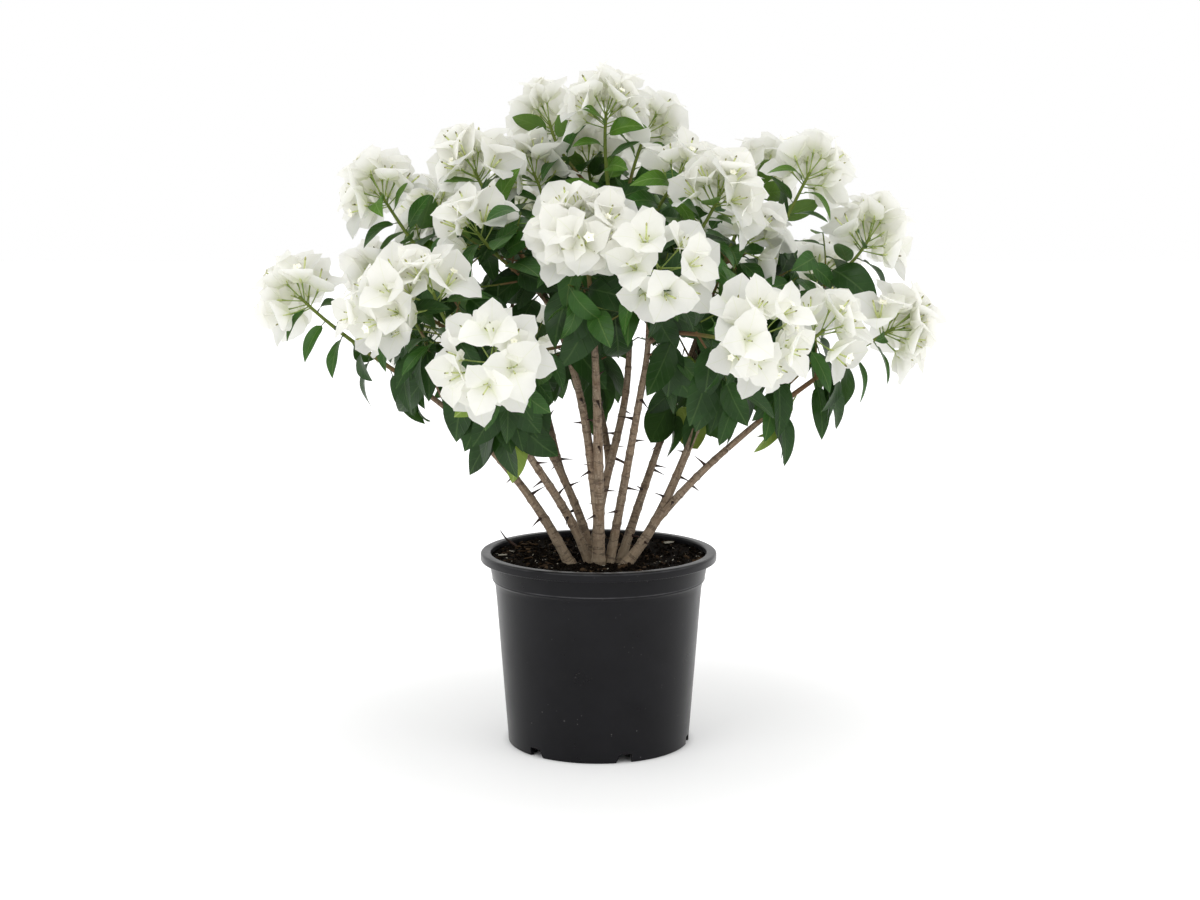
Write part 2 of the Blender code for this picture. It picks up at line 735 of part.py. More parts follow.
def grow_leaves(crown, shoots, pieces):
    """The first leaves under a head lie in its opening. One that finds no room after some turns is left out."""
    chance = random.Random(SEED)
    for name, found in shoots.items():
        for shoot in found:
            length = length_of(shoot["path"])
            for number in range(int((length - LEAF_FROM_HEAD - 0.006) / LEAF_SPACING)):
                share = 1 - (LEAF_FROM_HEAD + number * LEAF_SPACING) / length
                at, way = along(shoot["path"], share)
                size = chance.uniform(0.92, 1.14)
                size *= (1 - 0.30 * smooth_step(share, 0.35, 1)) * (1 - 0.15 * smooth_step(at.z, 0.50, 0.62))
                turn = number * GOLDEN + chance.uniform(-0.3, 0.3)
                if number < len(FRONT_TURNS):
                    turn = front_turn(way) + FRONT_TURNS[number]
                long, wide = size * LEAF_LENGTH, size * LEAF_WIDTH
                for attempt in range(LEAF_TRIES):
                    leaf_way, up = leaf_ways(at, way, turn + attempt * 0.7, share)
                    if (at + leaf_way * long).z < LOWEST_LEAF or is_in_gap(at, leaf_way, up, long, wide):
                        continue
                    probe = leaf_mesh(at + leaf_way * 0.006, leaf_way, up, long, wide + 0.001, 0.003)
                    if crown.is_free(probe):
                        pieces[name].append(leaf_mesh(at, leaf_way, up, long, wide, LEAF_THICK))
                        crown.add(name, probe)
                        break


def make_masses(collection, profiles, limbs, material):
    crown = Standing()
    for name, limb in limbs.items():
        crown.add(name + "_limb", limb["solid"].data)
    shoots = {name: shoot_paths(name, limbs[name]) for name in HEADS}
    twigs = grow_twigs(crown, shoots, profiles[TWIG_SIDES])
    pieces = grow_flowers(crown, shoots)
    grow_leaves(crown, shoots, pieces)
    for name in HEADS:
        leader, *others = twigs[name]
        mesh = joined(leader, others + pieces[name])
        add_object("mass_" + name, mesh, collection, material)
        print(name, len(pieces[name]), "pieces", sum(len(p.vertices) - 2 for p in mesh.polygons), "triangles")


def main():
    clear_scene()
    bush = make_collection("bougainvillea_bush")
    cutters = make_collection("cutters", hidden=True)
    helpers = make_collection("helpers", hidden=True)
    materials = {name: make_material(name) for name in COLOURS}
    make_pot(bush, cutters, materials["pot"])
    make_soil(bush, materials["soil"])
    profiles = make_profiles(helpers)
    limbs = make_limbs(bush, profiles, materials["bark"])
    make_masses(bush, profiles, limbs, materials["foliage"])


main()
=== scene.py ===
import json
import math
import random

import bmesh
import bpy
import numpy as np
from mathutils import Matrix, Vector, noise
from mathutils.bvhtree import BVHTree
from mathutils.geometry import interpolate_bezier

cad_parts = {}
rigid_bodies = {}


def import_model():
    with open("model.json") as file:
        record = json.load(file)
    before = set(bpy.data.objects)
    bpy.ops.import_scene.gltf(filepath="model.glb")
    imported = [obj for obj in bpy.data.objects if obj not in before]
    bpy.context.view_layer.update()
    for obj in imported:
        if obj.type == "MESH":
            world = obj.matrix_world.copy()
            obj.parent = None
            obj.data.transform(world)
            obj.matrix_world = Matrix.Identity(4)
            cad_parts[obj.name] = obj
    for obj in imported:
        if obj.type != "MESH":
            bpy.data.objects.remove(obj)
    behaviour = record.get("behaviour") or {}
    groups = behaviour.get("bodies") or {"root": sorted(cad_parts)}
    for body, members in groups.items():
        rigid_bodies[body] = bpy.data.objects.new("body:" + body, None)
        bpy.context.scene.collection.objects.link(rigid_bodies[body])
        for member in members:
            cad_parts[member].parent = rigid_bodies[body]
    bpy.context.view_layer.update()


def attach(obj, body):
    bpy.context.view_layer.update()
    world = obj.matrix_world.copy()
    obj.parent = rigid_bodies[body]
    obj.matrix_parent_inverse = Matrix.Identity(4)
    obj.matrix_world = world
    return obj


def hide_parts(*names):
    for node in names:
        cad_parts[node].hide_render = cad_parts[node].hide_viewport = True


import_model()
up = Vector((0, 0, 1))
eye = Vector((0, -2.085, 0.6155))  # where the bush is looked at from
golden = math.radians(137.5)

# small helpers


def newObject(name, data):
    made = bpy.data.objects.new(name, data)
    bpy.context.scene.collection.objects.link(made)
    return made


def bakedMesh(source):
    bpy.context.view_layer.update()
    graph = bpy.context.evaluated_depsgraph_get()
    return bpy.data.meshes.new_from_object(source.evaluated_get(graph))


def settle(source, name, material=None):  # turns what the modifiers make into a plain mesh on the object
    mesh = bakedMesh(source)
    mesh.name = name
    source.modifiers.clear()
    source.data = mesh
    source.name = name
    if material:
        mesh.materials.clear()
        mesh.materials.append(material)
    return source


def feed(tree, socket, value):
    if isinstance(value, bpy.types.NodeSocket):
        tree.links.new(value, socket)
    else:
        socket.default_value = value


def addNode(tree, kind, inputs=None, **settings):
    made = tree.nodes.new(kind)
    for name, value in settings.items():
        setattr(made, name, value)
    for name, value in (inputs or {}).items():
        feed(tree, made.inputs[name], value)
    return made


def mathNode(tree, operation, *values, clamp=False):
    made = addNode(tree, "ShaderNodeMath", dict(enumerate(values)), operation=operation, use_clamp=clamp)
    return made.outputs[0]


def times(tree, first, second):
    return mathNode(tree, "MULTIPLY", first, second)


def distanceFrom(tree, value, middle):
    return mathNode(tree, "ABSOLUTE", mathNode(tree, "SUBTRACT", value, middle))


def rampNode(tree, factor, low, high):  # 0 below low, 1 above high, smooth between
    return addNode(tree, "ShaderNodeMapRange", {"Value": factor, "From Min": low, "From Max": high},
                   interpolation_type="SMOOTHSTEP").outputs["Result"]


def axesOf(tree, vector):
    return addNode(tree, "ShaderNodeSeparateXYZ", {"Vector": vector}).outputs


def mixColours(tree, factor, first, second):
    made = addNode(tree, "ShaderNodeMix", data_type="RGBA")
    sockets = {socket.identifier: socket for socket in made.inputs}
    for name, value in (("Factor_Float", factor), ("A_Color", first), ("B_Color", second)):
        feed(tree, sockets[name], value)
    return next(socket for socket in made.outputs if socket.identifier == "Result_Color")


def tinted(tree, colour, mask, share, other):  # the other colour laid over this one where the mask is
    return mixColours(tree, times(tree, mask, share), colour, other)


def newGroup(name, kind, inputs, outputs):  # an input's value is its default number, or its type by name
    tree = bpy.data.node_groups.new(name, kind)
    for label, value in inputs.items():
        isType = isinstance(value, str)
        typeName = value if isType else type(value).__name__.capitalize()
        socket = tree.interface.new_socket(label, in_out="INPUT", socket_type="NodeSocket" + typeName)
        if not isType:
            socket.default_value = value
    for label, typeName in outputs.items():
        tree.interface.new_socket(label, in_out="OUTPUT", socket_type="NodeSocket" + typeName)
    return tree, tree.nodes.new("NodeGroupInput").outputs, tree.nodes.new("NodeGroupOutput").inputs


def skinPoint(tree, ring, run, girth, pace):  # a pattern's place on a stem's skin, round it and along it
    sides = axesOf(tree, ring)
    return addNode(tree, "ShaderNodeCombineXYZ", {
        "X": times(tree, sides["X"], girth), "Y": times(tree, sides["Y"], girth),
        "Z": times(tree, run, pace)}).outputs["Vector"]


def newMaterial(name, roughness, **plain):
    made = bpy.data.materials.new(name)
    made.use_nodes = True
    sockets = made.node_tree.nodes["Principled BSDF"].inputs
    sockets["Roughness"].default_value = roughness
    for label, value in plain.items():
        sockets[label.replace("_", " ")].default_value = value
    return made, made.node_tree, sockets


# shared shader groups


def makeMottle():  # soft uneven colour, from 0 to 1
    sockets = {"Vector": "Vector", "Scale": 20.0, "Contrast": 1.0}
    tree, inputs, outputs = newGroup("softMottle", "ShaderNodeTree", sockets, {"Mask": "Float"})
    cloud = addNode(tree, "ShaderNodeTexNoise",
                    {"Vector": inputs["Vector"], "Scale": inputs["Scale"], "Detail": 4.0, "Roughness": 0.6})
    centred = mathNode(tree, "SUBTRACT", cloud.outputs["Fac"], 0.5)
    spread = times(tree, centred, inputs["Contrast"])
    tree.links.new(mathNode(tree, "MULTIPLY_ADD", spread, 2.0, 0.5, clamp=True), outputs["Mask"])
    return tree


def makeSpecks():  # small round flecks, each 1 in its middle
    sockets = {"Vector": "Vector", "Scale": 200.0, "Size": 0.15, "Share": 0.2}
    tree, inputs, outputs = newGroup("fineSpecks", "ShaderNodeTree", sockets, {"Mask": "Float"})
    cells = addNode(tree, "ShaderNodeTexVoronoi", {"Vector": inputs["Vector"], "Scale": inputs["Scale"]})
    near = mathNode(tree, "LESS_THAN", cells.outputs["Distance"], inputs["Size"])
    pick = addNode(tree, "ShaderNodeSeparateColor", {"Color": cells.outputs["Color"]})
    kept = mathNode(tree, "LESS_THAN", pick.outputs["Red"], inputs["Share"])
    tree.links.new(times(tree, near, kept), outputs["Mask"])
    return tree


def makeVeins():  # midrib and side veins of a blade whose UV runs across it in X and along it in Y
    sockets = {"Vector": "Vector", "Pairs": 7.0, "Slant": 1.2, "Width": 0.03}
    tree, inputs, outputs = newGroup("bladeVeins", "ShaderNodeTree", sockets,
                                     {"Midrib": "Float", "Veins": "Float"})
    parts = axesOf(tree, inputs["Vector"])
    aside = distanceFrom(tree, parts["X"], 0.5)
    run = mathNode(tree, "SUBTRACT", parts["Y"], times(tree, aside, inputs["Slant"]))
    beat = mathNode(tree, "FRACT", times(tree, run, inputs["Pairs"]))
    tree.links.new(rampNode(tree, aside, inputs["Width"], 0.0), outputs["Midrib"])
    tree.links.new(rampNode(tree, distanceFrom(tree, beat, 0.5), 0.40, 0.5), outputs["Veins"])
    return tree


mottle = makeMottle()
specks = makeSpecks()
veins = makeVeins()


def objectPoint(tree):
    return tree.nodes.new("ShaderNodeTexCoord").outputs["Object"]


def usedGroup(tree, group, vector=None, **inputs):  # a group spreads over the object unless it gets a vector
    return addNode(tree, "ShaderNodeGroup", {"Vector": vector or objectPoint(tree), **inputs},
                   node_tree=group).outputs


def maskOf(tree, group, vector=None, **inputs):
    return usedGroup(tree, group, vector, **inputs)["Mask"]


def bumped(tree, sockets, height, distance, strength=0.5):
    bump = addNode(tree, "ShaderNodeBump", {"Height": height, "Distance": distance, "Strength": strength})
    tree.links.new(bump.outputs["Normal"], sockets["Normal"])


def mottledMaterial(name, roughness, first, second, scale, contrast, relief=0, **plain):
    material, tree, sockets = newMaterial(name, roughness, **plain)
    cloud = maskOf(tree, mottle, Scale=scale, Contrast=contrast)
    tree.links.new(mixColours(tree, cloud, first, second), sockets["Base Color"])
    if relief:
        bumped(tree, sockets, cloud, relief)
    return material


# Geometry Nodes that make the pieces


def namedValue(tree, name, kind="FLOAT"):
    return addNode(tree, "GeometryNodeInputNamedAttribute", {"Name": name}, data_type=kind).outputs["Attribute"]


def newShapeGroup(name, inputs):
    return newGroup(name, "GeometryNodeTree", {"Geometry": "Geometry", **inputs, "Material": "Material"},
                    {"Geometry": "Geometry"})


def paintResult(tree, inputs, outputs, geometry):
    real = addNode(tree, "GeometryNodeRealizeInstances", {"Geometry": geometry})
    painted = addNode(tree, "GeometryNodeSetMaterial",
                      {"Geometry": real.outputs["Geometry"], "Material": inputs["Material"]})
    tree.links.new(painted.outputs["Geometry"], outputs["Geometry"])
    return tree


def makeSprayTree():  # puts one of the shapes on each point, turned and scaled by the point's own values
    tree, inputs, outputs = newShapeGroup("sprayShapes", {"Shapes": "Collection"})
    shapes = addNode(tree, "GeometryNodeCollectionInfo",
                     {"Collection": inputs["Shapes"], "Separate Children": True, "Reset Children": True})
    turned = addNode(tree, "FunctionNodeEulerToRotation", {"Euler": namedValue(tree, "turn", "FLOAT_VECTOR")})
    placed = addNode(tree, "GeometryNodeInstanceOnPoints", {
        "Points": inputs["Geometry"], "Instance": shapes.outputs["Instances"], "Pick Instance": True,
        "Instance Index": namedValue(tree, "kind", "INT"), "Rotation": turned.outputs["Rotation"],
        "Scale": namedValue(tree, "size")})
    return paintResult(tree, inputs, outputs, placed.outputs["Instances"])


def makeStemTree():  # sweeps a round section along each strand, with its thickness and a ridged skin
    tree, inputs, outputs = newShapeGroup("sweepStems", {"Sides": 12, "Relief": 0.0, "Grain": 300.0})
    line = addNode(tree, "GeometryNodeMeshToCurve", {"Mesh": inputs["Geometry"]})
    ring = addNode(tree, "GeometryNodeCurvePrimitiveCircle", {"Resolution": inputs["Sides"], "Radius": 1.0})
    where = tree.nodes.new("GeometryNodeInputPosition")
    marked = addNode(tree, "GeometryNodeStoreNamedAttribute",
                     {"Geometry": ring.outputs["Curve"], "Name": "ring", "Value": where.outputs["Position"]},
                     data_type="FLOAT_VECTOR", domain="POINT")
    swept = addNode(tree, "GeometryNodeCurveToMesh", {
        "Curve": line.outputs["Curve"], "Profile Curve": marked.outputs["Geometry"],
        "Scale": namedValue(tree, "thick"), "Fill Caps": True})
    skin = skinPoint(tree, namedValue(tree, "ring", "FLOAT_VECTOR"), namedValue(tree, "along"), 0.004, 0.22)
    bark = addNode(tree, "ShaderNodeTexNoise",
                   {"Vector": skin, "Scale": inputs["Grain"], "Detail": 3.0, "Roughness": 0.6})
    rise = times(tree, mathNode(tree, "SUBTRACT", bark.outputs["Fac"], 0.5), inputs["Relief"])
    outward = tree.nodes.new("GeometryNodeInputNormal").outputs["Normal"]
    push = addNode(tree, "ShaderNodeVectorMath", {0: outward, "Scale": rise}, operation="SCALE")
    raised = addNode(tree, "GeometryNodeSetPosition",
                     {"Geometry": swept.outputs["Mesh"], "Offset": push.outputs["Vector"]})
    smooth = addNode(tree, "GeometryNodeSetShadeSmooth", {"Geometry": raised.outputs["Geometry"]})
    return paintResult(tree, inputs, outputs, smooth.outputs["Geometry"])


sprayTree = makeSprayTree()
stemTree = makeStemTree()


def runTree(source, tree, name, **values):  # inputs are set by identifier before the first evaluation
    modifier = source.modifiers.new(tree.name, "NODES")
    modifier.node_group = tree
    for item in tree.interface.items_tree:
        if item.item_type == "SOCKET" and item.in_out == "INPUT" and item.name in values:
            modifier[item.identifier] = values[item.name]
    return settle(source, name)


def pointMesh(name, places):  # places are (point, matrix, size, kind)
    mesh = bpy.data.meshes.new(name)
    mesh.from_pydata([place[0] for place in places], [], [])
    turn = mesh.attributes.new("turn", "FLOAT_VECTOR", "POINT")
    turn.data.foreach_set("vector", [value for place in places for value in place[1].to_euler()])
    mesh.attributes.new("size", "FLOAT", "POINT").data.foreach_set("value", [place[2] for place in places])
    mesh.attributes.new("kind", "INT", "POINT").data.foreach_set("value", [place[3] for place in places])
    return mesh


def sprayPiece(name, places, shapes, material):
    piece = runTree(newObject(name, pointMesh(name, places)), sprayTree, name, Shapes=shapes, Material=material)
    print(name, "has", len(places), "pieces and", len(piece.data.polygons), "faces")
    return piece


def stemPiece(name, strands, material, sides, relief=0.0, grain=300.0):
    points, edges, thick, along, youth = [], [], [], [], []
    for strand in strands:
        first, run = len(points), 0.0
        for index, point in enumerate(strand["points"]):
            if index:
                edges.append((len(points) - 1, len(points)))
                run += (point - strand["points"][index - 1]).length
            points.append(point)
            along.append(first * 0.37 + run)
        thick += strand["radii"]
        youth += strand["youth"]
    mesh = bpy.data.meshes.new(name)
    mesh.from_pydata(points, edges, [])
    for label, values in (("thick", thick), ("along", along), ("youth", youth)):
        mesh.attributes.new(label, "FLOAT", "POINT").data.foreach_set("value", values)
    piece = runTree(newObject(name, mesh), stemTree, name, Sides=sides, Relief=relief, Grain=grain,
                    Material=material)
    print(name, "has", len(strands), "strands and", len(piece.data.polygons), "faces")
    return piece


def shapeStore(name, meshes):  # a collection of the shapes that are sprayed, kept out of the render
    store = bpy.data.collections.new(name)
    for index, mesh in enumerate(meshes):
        store.objects.link(bpy.data.objects.new(f"{name}{index}", mesh))
    return store


def meshFrom(bm, name, isSmooth=True):
    for face in bm.faces:
        face.smooth = isSmooth
    mesh = bpy.data.meshes.new(name)
    bm.to_mesh(mesh)
    bm.free()
    return mesh


def turnsOf(count):  # angles evenly round a circle
    return [math.tau * number / count for number in range(count)]


def ringMesh(name, rings):  # a closed round body, from the points of its rings
    bm = bmesh.new()
    loops = [[bm.verts.new(point) for point in ring] for ring in rings]
    for low, high in zip(loops, loops[1:]):
        for side, corner in enumerate(low):
            after = (side + 1) % len(low)
            bm.faces.new((corner, low[after], high[after], high[side]))
    bm.faces.new(loops[-1])
    bm.faces.new(loops[0][::-1])
    return meshFrom(bm, name)


# how the bush grows
# A place is its azimuth in degrees from +X towards +Y, its distance from the pot's axis and its height.
# A cane's bow leans its foot outward.

bush = {"soilTop": 0.196, "lead": 0.007, "caneFoot": 0.0062, "caneTip": 0.0034, "flare": 1.12,
        "flareShare": 0.10, "shootEnd": 0.0016, "seed": 23}
canes = {
    "left_low": {"foot": (214, 0.0375), "girth": 0.95, "bow": 0.00, "tip": (190, 0.108, 0.308)},
    "left_front": {"foot": (242, 0.0211), "girth": 0.85, "bow": -0.28, "tip": (228, 0.125, 0.345)},
    "left_back": {"foot": (215, 0.0079), "girth": 0.85, "bow": -0.10, "tip": (156, 0.073, 0.335)},
    "centre": {"foot": (270, 0.0300), "girth": 1.08, "bow": 0.00, "tip": (268, 0.100, 0.425)},
    "centre_back": {"foot": (108, 0.0110), "girth": 0.85, "bow": -0.45, "tip": (53, 0.053, 0.400)},
    "right_front": {"foot": (297, 0.0253), "girth": 0.80, "bow": 0.00, "tip": (303, 0.084, 0.398)},
    "right_back": {"foot": (333, 0.0263), "girth": 0.85, "bow": 0.00, "tip": (36, 0.087, 0.325)},
    "right_up": {"foot": (313, 0.0421), "girth": 0.95, "bow": 0.25, "tip": (2, 0.114, 0.358)},
}
limbs = {
    "centre_left": {"cane": "centre", "at": 0.20, "tip": (243, 0.071, 0.425)},
    "right_low": {"cane": "right_up", "at": 0.28, "tip": (348, 0.139, 0.320)},
    "back_left": {"cane": "left_back", "at": 0.55, "tip": (126, 0.122, 0.370)},
    "back": {"cane": "centre_back", "at": 0.45, "tip": (92, 0.118, 0.372)},
    "back_right": {"cane": "right_back", "at": 0.55, "tip": (48, 0.138, 0.372)},
}
heads = {  # a head's place, how far it looks up in degrees, and its flowers
    "left_low": [(180, 0.312, 0.474, 44, 13), (219, 0.264, 0.479, 24, 9)],
    "left_front": [(249, 0.280, 0.432, 12, 9), (227, 0.232, 0.490, 66, 12)],
    "left_back": [(174, 0.230, 0.581, 58, 14), (155, 0.264, 0.487, 44, 10), (146, 0.222, 0.560, 50, 13)],
    "centre": [(266, 0.190, 0.548, 42, 18)],
    "centre_left": [(191, 0.129, 0.605, 66, 14), (216, 0.150, 0.545, 50, 6), (156, 0.075, 0.602, 62, 9)],
    "centre_back": [(10, 0.008, 0.664, 86, 14), (328, 0.095, 0.597, 50, 10), (98, 0.081, 0.614, 60, 9),
                    (50, 0.080, 0.647, 58, 11), (131, 0.080, 0.656, 68, 12)],
    "right_front": [(284, 0.240, 0.516, 20, 8), (301, 0.290, 0.454, 12, 10), (320, 0.156, 0.580, 58, 14)],
    "right_back": [(33, 0.212, 0.598, 60, 11), (26, 0.273, 0.490, 44, 13)],
    "right_up": [(6, 0.222, 0.602, 62, 13), (5, 0.286, 0.534, 58, 13), (351, 0.156, 0.532, 44, 8)],
    "right_low": [(354, 0.306, 0.444, 32, 14), (336, 0.246, 0.448, 40, 6)],
    "back_left": [(128, 0.300, 0.450, 24, 12), (116, 0.226, 0.560, 48, 13), (140, 0.292, 0.436, 12, 8)],
    "back": [(92, 0.306, 0.456, 26, 12), (88, 0.196, 0.596, 60, 14), (108, 0.300, 0.395, 10, 8)],
    "back_right": [(56, 0.306, 0.462, 26, 12), (62, 0.222, 0.570, 50, 13), (42, 0.294, 0.436, 12, 8)],
}
chance = random.Random(bush["seed"])
noise.seed_set(bush["seed"])


def place(azimuth, reach, height):
    turn = math.radians(azimuth)
    return Vector((reach * math.cos(turn), reach * math.sin(turn), height))


def smoothPath(start, startWay, end, endWay, steps):
    first, last = start + startWay * bush["lead"], end - endWay * bush["lead"]
    pull = 0.36 * (last - first).length
    middle = interpolate_bezier(first, first + startWay * pull, last - endWay * pull, last, steps - 1)
    return [start, *middle, end]


def bendWays(start, end, beyond, bow=0):
    chord = (end - start).normalized()
    endWay = (chord + (beyond - end).normalized() * 0.8).normalized()
    outward = Vector((end.x, end.y, 0)).normalized()
    return (2.1 * chord - endWay + outward * bow).normalized(), endWay


def lengthOf(path):
    return sum((b - a).length for a, b in zip(path, path[1:]))


def along(path, share):
    left = share * lengthOf(path)
    for start, end in zip(path, path[1:]):
        way = end - start
        if left <= way.length:
            break
        left -= way.length
    return start + way.normalized() * min(left, way.length), way.normalized()


def shares(path):
    total, run, found = lengthOf(path), 0.0, [0.0]
    for a, b in zip(path, path[1:]):
        run += (b - a).length
        found.append(run / total)
    return found


def sideways(way, turn):
    start = way.cross(up if abs(way.z) < 0.95 else Vector((1, 0, 0))).normalized()
    return Matrix.Rotation(turn, 3, way) @ start


def facing(across, forward, above):
    return Matrix((across, forward, above)).transposed()


def smoothStep(value, low, high):
    share = min(1, max(0, (value - low) / (high - low)))
    return share * share * (3 - 2 * share)


# bark, canes and thorns

barkLook = {"pale": (0.330, 0.262, 0.190, 1), "dark": (0.140, 0.100, 0.066, 1),
            "foot": (0.330, 0.265, 0.180, 1), "young": (0.130, 0.175, 0.030, 1),
            "ripening": (0.180, 0.098, 0.048, 1), "fleck": (0.42, 0.35, 0.27, 1),
            "scar": (0.050, 0.032, 0.022, 1), "footTop": 0.245, "footLow": 0.195}
barkShape = {"sides": 14, "step": 0.0020, "relief": 0.0003, "grain": 620.0, "nodeGap": 0.026,
             "nodeRise": 0.13, "nodeWidth": 0.0018, "youth": 0.16, "under": 0.012}
thornShape = {"length": 0.0165, "radius": 0.0016, "gap": 0.026, "first": 0.030, "hook": 0.10, "sunk": 0.75,
              "sides": 7, "rings": ((0.0, 1.45), (0.10, 1.0), (0.35, 0.62), (0.7, 0.30), (1.0, 0.04))}


def makeBark():
    material, tree, sockets = newMaterial("bark", 0.75, Specular_IOR_Level=0.25)
    ring, run, youth = (addNode(tree, "ShaderNodeAttribute", attribute_name=name).outputs
                        for name in ("ring", "along", "youth"))
    streaks = maskOf(tree, mottle, skinPoint(tree, ring["Vector"], run["Fac"], 0.004, 0.16),
                     Scale=620.0, Contrast=1.2)
    scars = maskOf(tree, mottle, skinPoint(tree, ring["Vector"], run["Fac"], 0.0016, 1.0),
                   Scale=330.0, Contrast=2.4)
    patches = maskOf(tree, mottle, Scale=70.0, Contrast=1.6)
    flecks = maskOf(tree, specks, Scale=420.0, Size=0.30, Share=0.20)
    # painted light: the bark is lighter near the soil, lifting the shade that falls on the canes' feet; the tan there
    # is partly the bark's own colour
    atFoot = rampNode(tree, axesOf(tree, objectPoint(tree))["Z"], barkLook["footTop"], barkLook["footLow"])
    wood = mixColours(tree, streaks, barkLook["dark"], barkLook["pale"])
    wood = tinted(tree, wood, patches, 0.35, barkLook["ripening"])
    wood = tinted(tree, wood, flecks, 0.5, barkLook["fleck"])
    wood = tinted(tree, wood, atFoot, 0.45, barkLook["foot"])
    wood = tinted(tree, wood, rampNode(tree, scars, 0.62, 0.95), 0.55, barkLook["scar"])
    ripe = mixColours(tree, rampNode(tree, youth["Fac"], 0.10, 0.50), wood, barkLook["ripening"])
    ripe = mixColours(tree, rampNode(tree, youth["Fac"], 0.45, 0.85), ripe, barkLook["young"])
    tree.links.new(ripe, sockets["Base Color"])
    bumped(tree, sockets, streaks, 0.0006)
    return material


def caneRadius(name):
    foot, tip = bush["caneFoot"] * canes[name]["girth"], bush["caneTip"]

    def radiusAt(share):
        return (1 + (bush["flare"] - 1) * max(0, 1 - share / bush["flareShare"])) * (foot + (tip - foot) * share)

    return radiusAt


def growCane(name):
    cane = canes[name]
    foot, tip = place(*cane["foot"], bush["soilTop"]), place(*cane["tip"])
    startWay, endWay = bendWays(foot, tip, place(*heads[name][0][:3]), cane["bow"])
    path = smoothPath(foot, startWay, tip, endWay, 60)
    return {"path": path, "way": endWay, "radiusAt": caneRadius(name),
            "under": foot - startWay * barkShape["under"]}


def growLimb(name, parent):
    limb = limbs[name]
    fork, forkWay = along(parent["path"], limb["at"])
    tip = place(*limb["tip"])
    endWay = bendWays(fork, tip, place(*heads[name][0][:3]))[1]
    startWay = ((tip - fork).normalized() + 0.3 * forkWay).normalized()
    startRadius = 0.86 * parent["radiusAt"](limb["at"])
    path = smoothPath(fork, startWay, tip, endWay, 60)
    return {"path": path, "way": endWay,
            "radiusAt": lambda share: startRadius + (bush["caneTip"] - startRadius) * share}


def caneStrand(stem, phase):
    length = lengthOf(stem["path"])
    count = int(length / barkShape["step"])
    points, radii, youth = [], [], []
    if "under" in stem:
        points.append(stem["under"]), radii.append(stem["radiusAt"](0)), youth.append(0.0)
    for index in range(count + 1):
        share = index / count
        beat = ((share * length + phase) / barkShape["nodeGap"]) % 1
        swell = math.exp(-((min(beat, 1 - beat) * barkShape["nodeGap"] / barkShape["nodeWidth"]) ** 2))
        points.append(along(stem["path"], share)[0])
        radii.append(stem["radiusAt"](share) * (1 + barkShape["nodeRise"] * swell))
        youth.append(barkShape["youth"] * share)
    return {"points": points, "radii": radii, "youth": youth}


def thornMesh():
    rings = []
    for share, girth in thornShape["rings"]:
        bend = thornShape["hook"] * share * share * thornShape["length"]
        middle = Vector((bend, 0, share * thornShape["length"]))
        rings.append([middle + Vector((math.cos(turn), math.sin(turn), 0)) * girth * thornShape["radius"]
                      for turn in turnsOf(thornShape["sides"])])
    return ringMesh("thornShape", rings)


def thornPlaces(stem):
    length, found = lengthOf(stem["path"]), []
    for index in range(int((length - thornShape["first"]) / thornShape["gap"])):
        share = (thornShape["first"] + index * thornShape["gap"]) / length
        at, way = along(stem["path"], share)
        out = sideways(way, index * golden)
        across = way.cross(out).normalized()
        root = at + out * stem["radiusAt"](share) * thornShape["sunk"]
        found.append((root, facing(out.cross(across) * -1, across, out), chance.uniform(0.9, 1.1), 0))
    return found


stems = {name: growCane(name) for name in canes}
for limbName, limb in limbs.items():
    stems[limbName] = growLimb(limbName, stems[limb["cane"]])
barkMaterial = makeBark()
caneStrands = [caneStrand(stem, 0.007 * index) for index, stem in enumerate(stems.values())]
canePiece = stemPiece("canes", caneStrands, barkMaterial, barkShape["sides"], barkShape["relief"],
                      barkShape["grain"])

thornMaterial = mottledMaterial("thornHorn", 0.5, (0.014, 0.009, 0.007, 1), (0.055, 0.026, 0.016, 1),
                                scale=160.0, contrast=1.5, Specular_IOR_Level=0.3)
allThorns = [found for stem in stems.values() for found in thornPlaces(stem)]
thornPiece = sprayPiece("thorns", allThorns, shapeStore("thornShapes", [thornMesh()]), thornMaterial)


# the crown: shoots, flowers and leaves

shootShape = {"sides": 8, "steps": 22, "relief": 0.0003, "grain": 400.0, "birth": 0.16, "sideBirth": 0.25,
              "sideGirth": 0.8, "forkFrom": 0.10, "forkStep": 0.11, "forkPull": 0.7, "rootIn": 0.003}
twigShape = {"count": 4, "from": 0.08, "spread": 0.66, "jitter": (0.2, 0.8), "turn": 1.3, "length": (0.045, 0.085),
             "radius": 0.0012, "end": 0.0007, "birth": 0.5, "steps": 8, "lowest": 0.38, "highest": 0.58,
             "reach": 0.25}
probeShape = {"stem": 0.004, "shoot": 0.0015, "twig": 0.001, "leafFrom": 0.010, "leafHalf": 0.32, "leafTo": 0.90,
              "leafSag": 0.08, "cup": 0.42, "cupRise": 0.66, "cupReach": (0.60, 0.36)}
headShape = {"crowd": 1.3, "depth": 0.016, "top": 0.001, "open": 48, "openFrom": 30, "spread": 0.75, "pull": 0.4,
             "pedicelRadius": 0.00065, "pedicelGirths": (1.1, 1, 1, 1.1, 1.9),
             "fan": {"first": 10, "last": 76, "pedicel": (0.018, 0.024), "facing": 0.95, "bract": (0.037, 0.042)},
             "ring": {"first": 54, "last": 88, "pedicel": (0.023, 0.030), "facing": 0.42, "bract": (0.034, 0.039)}}
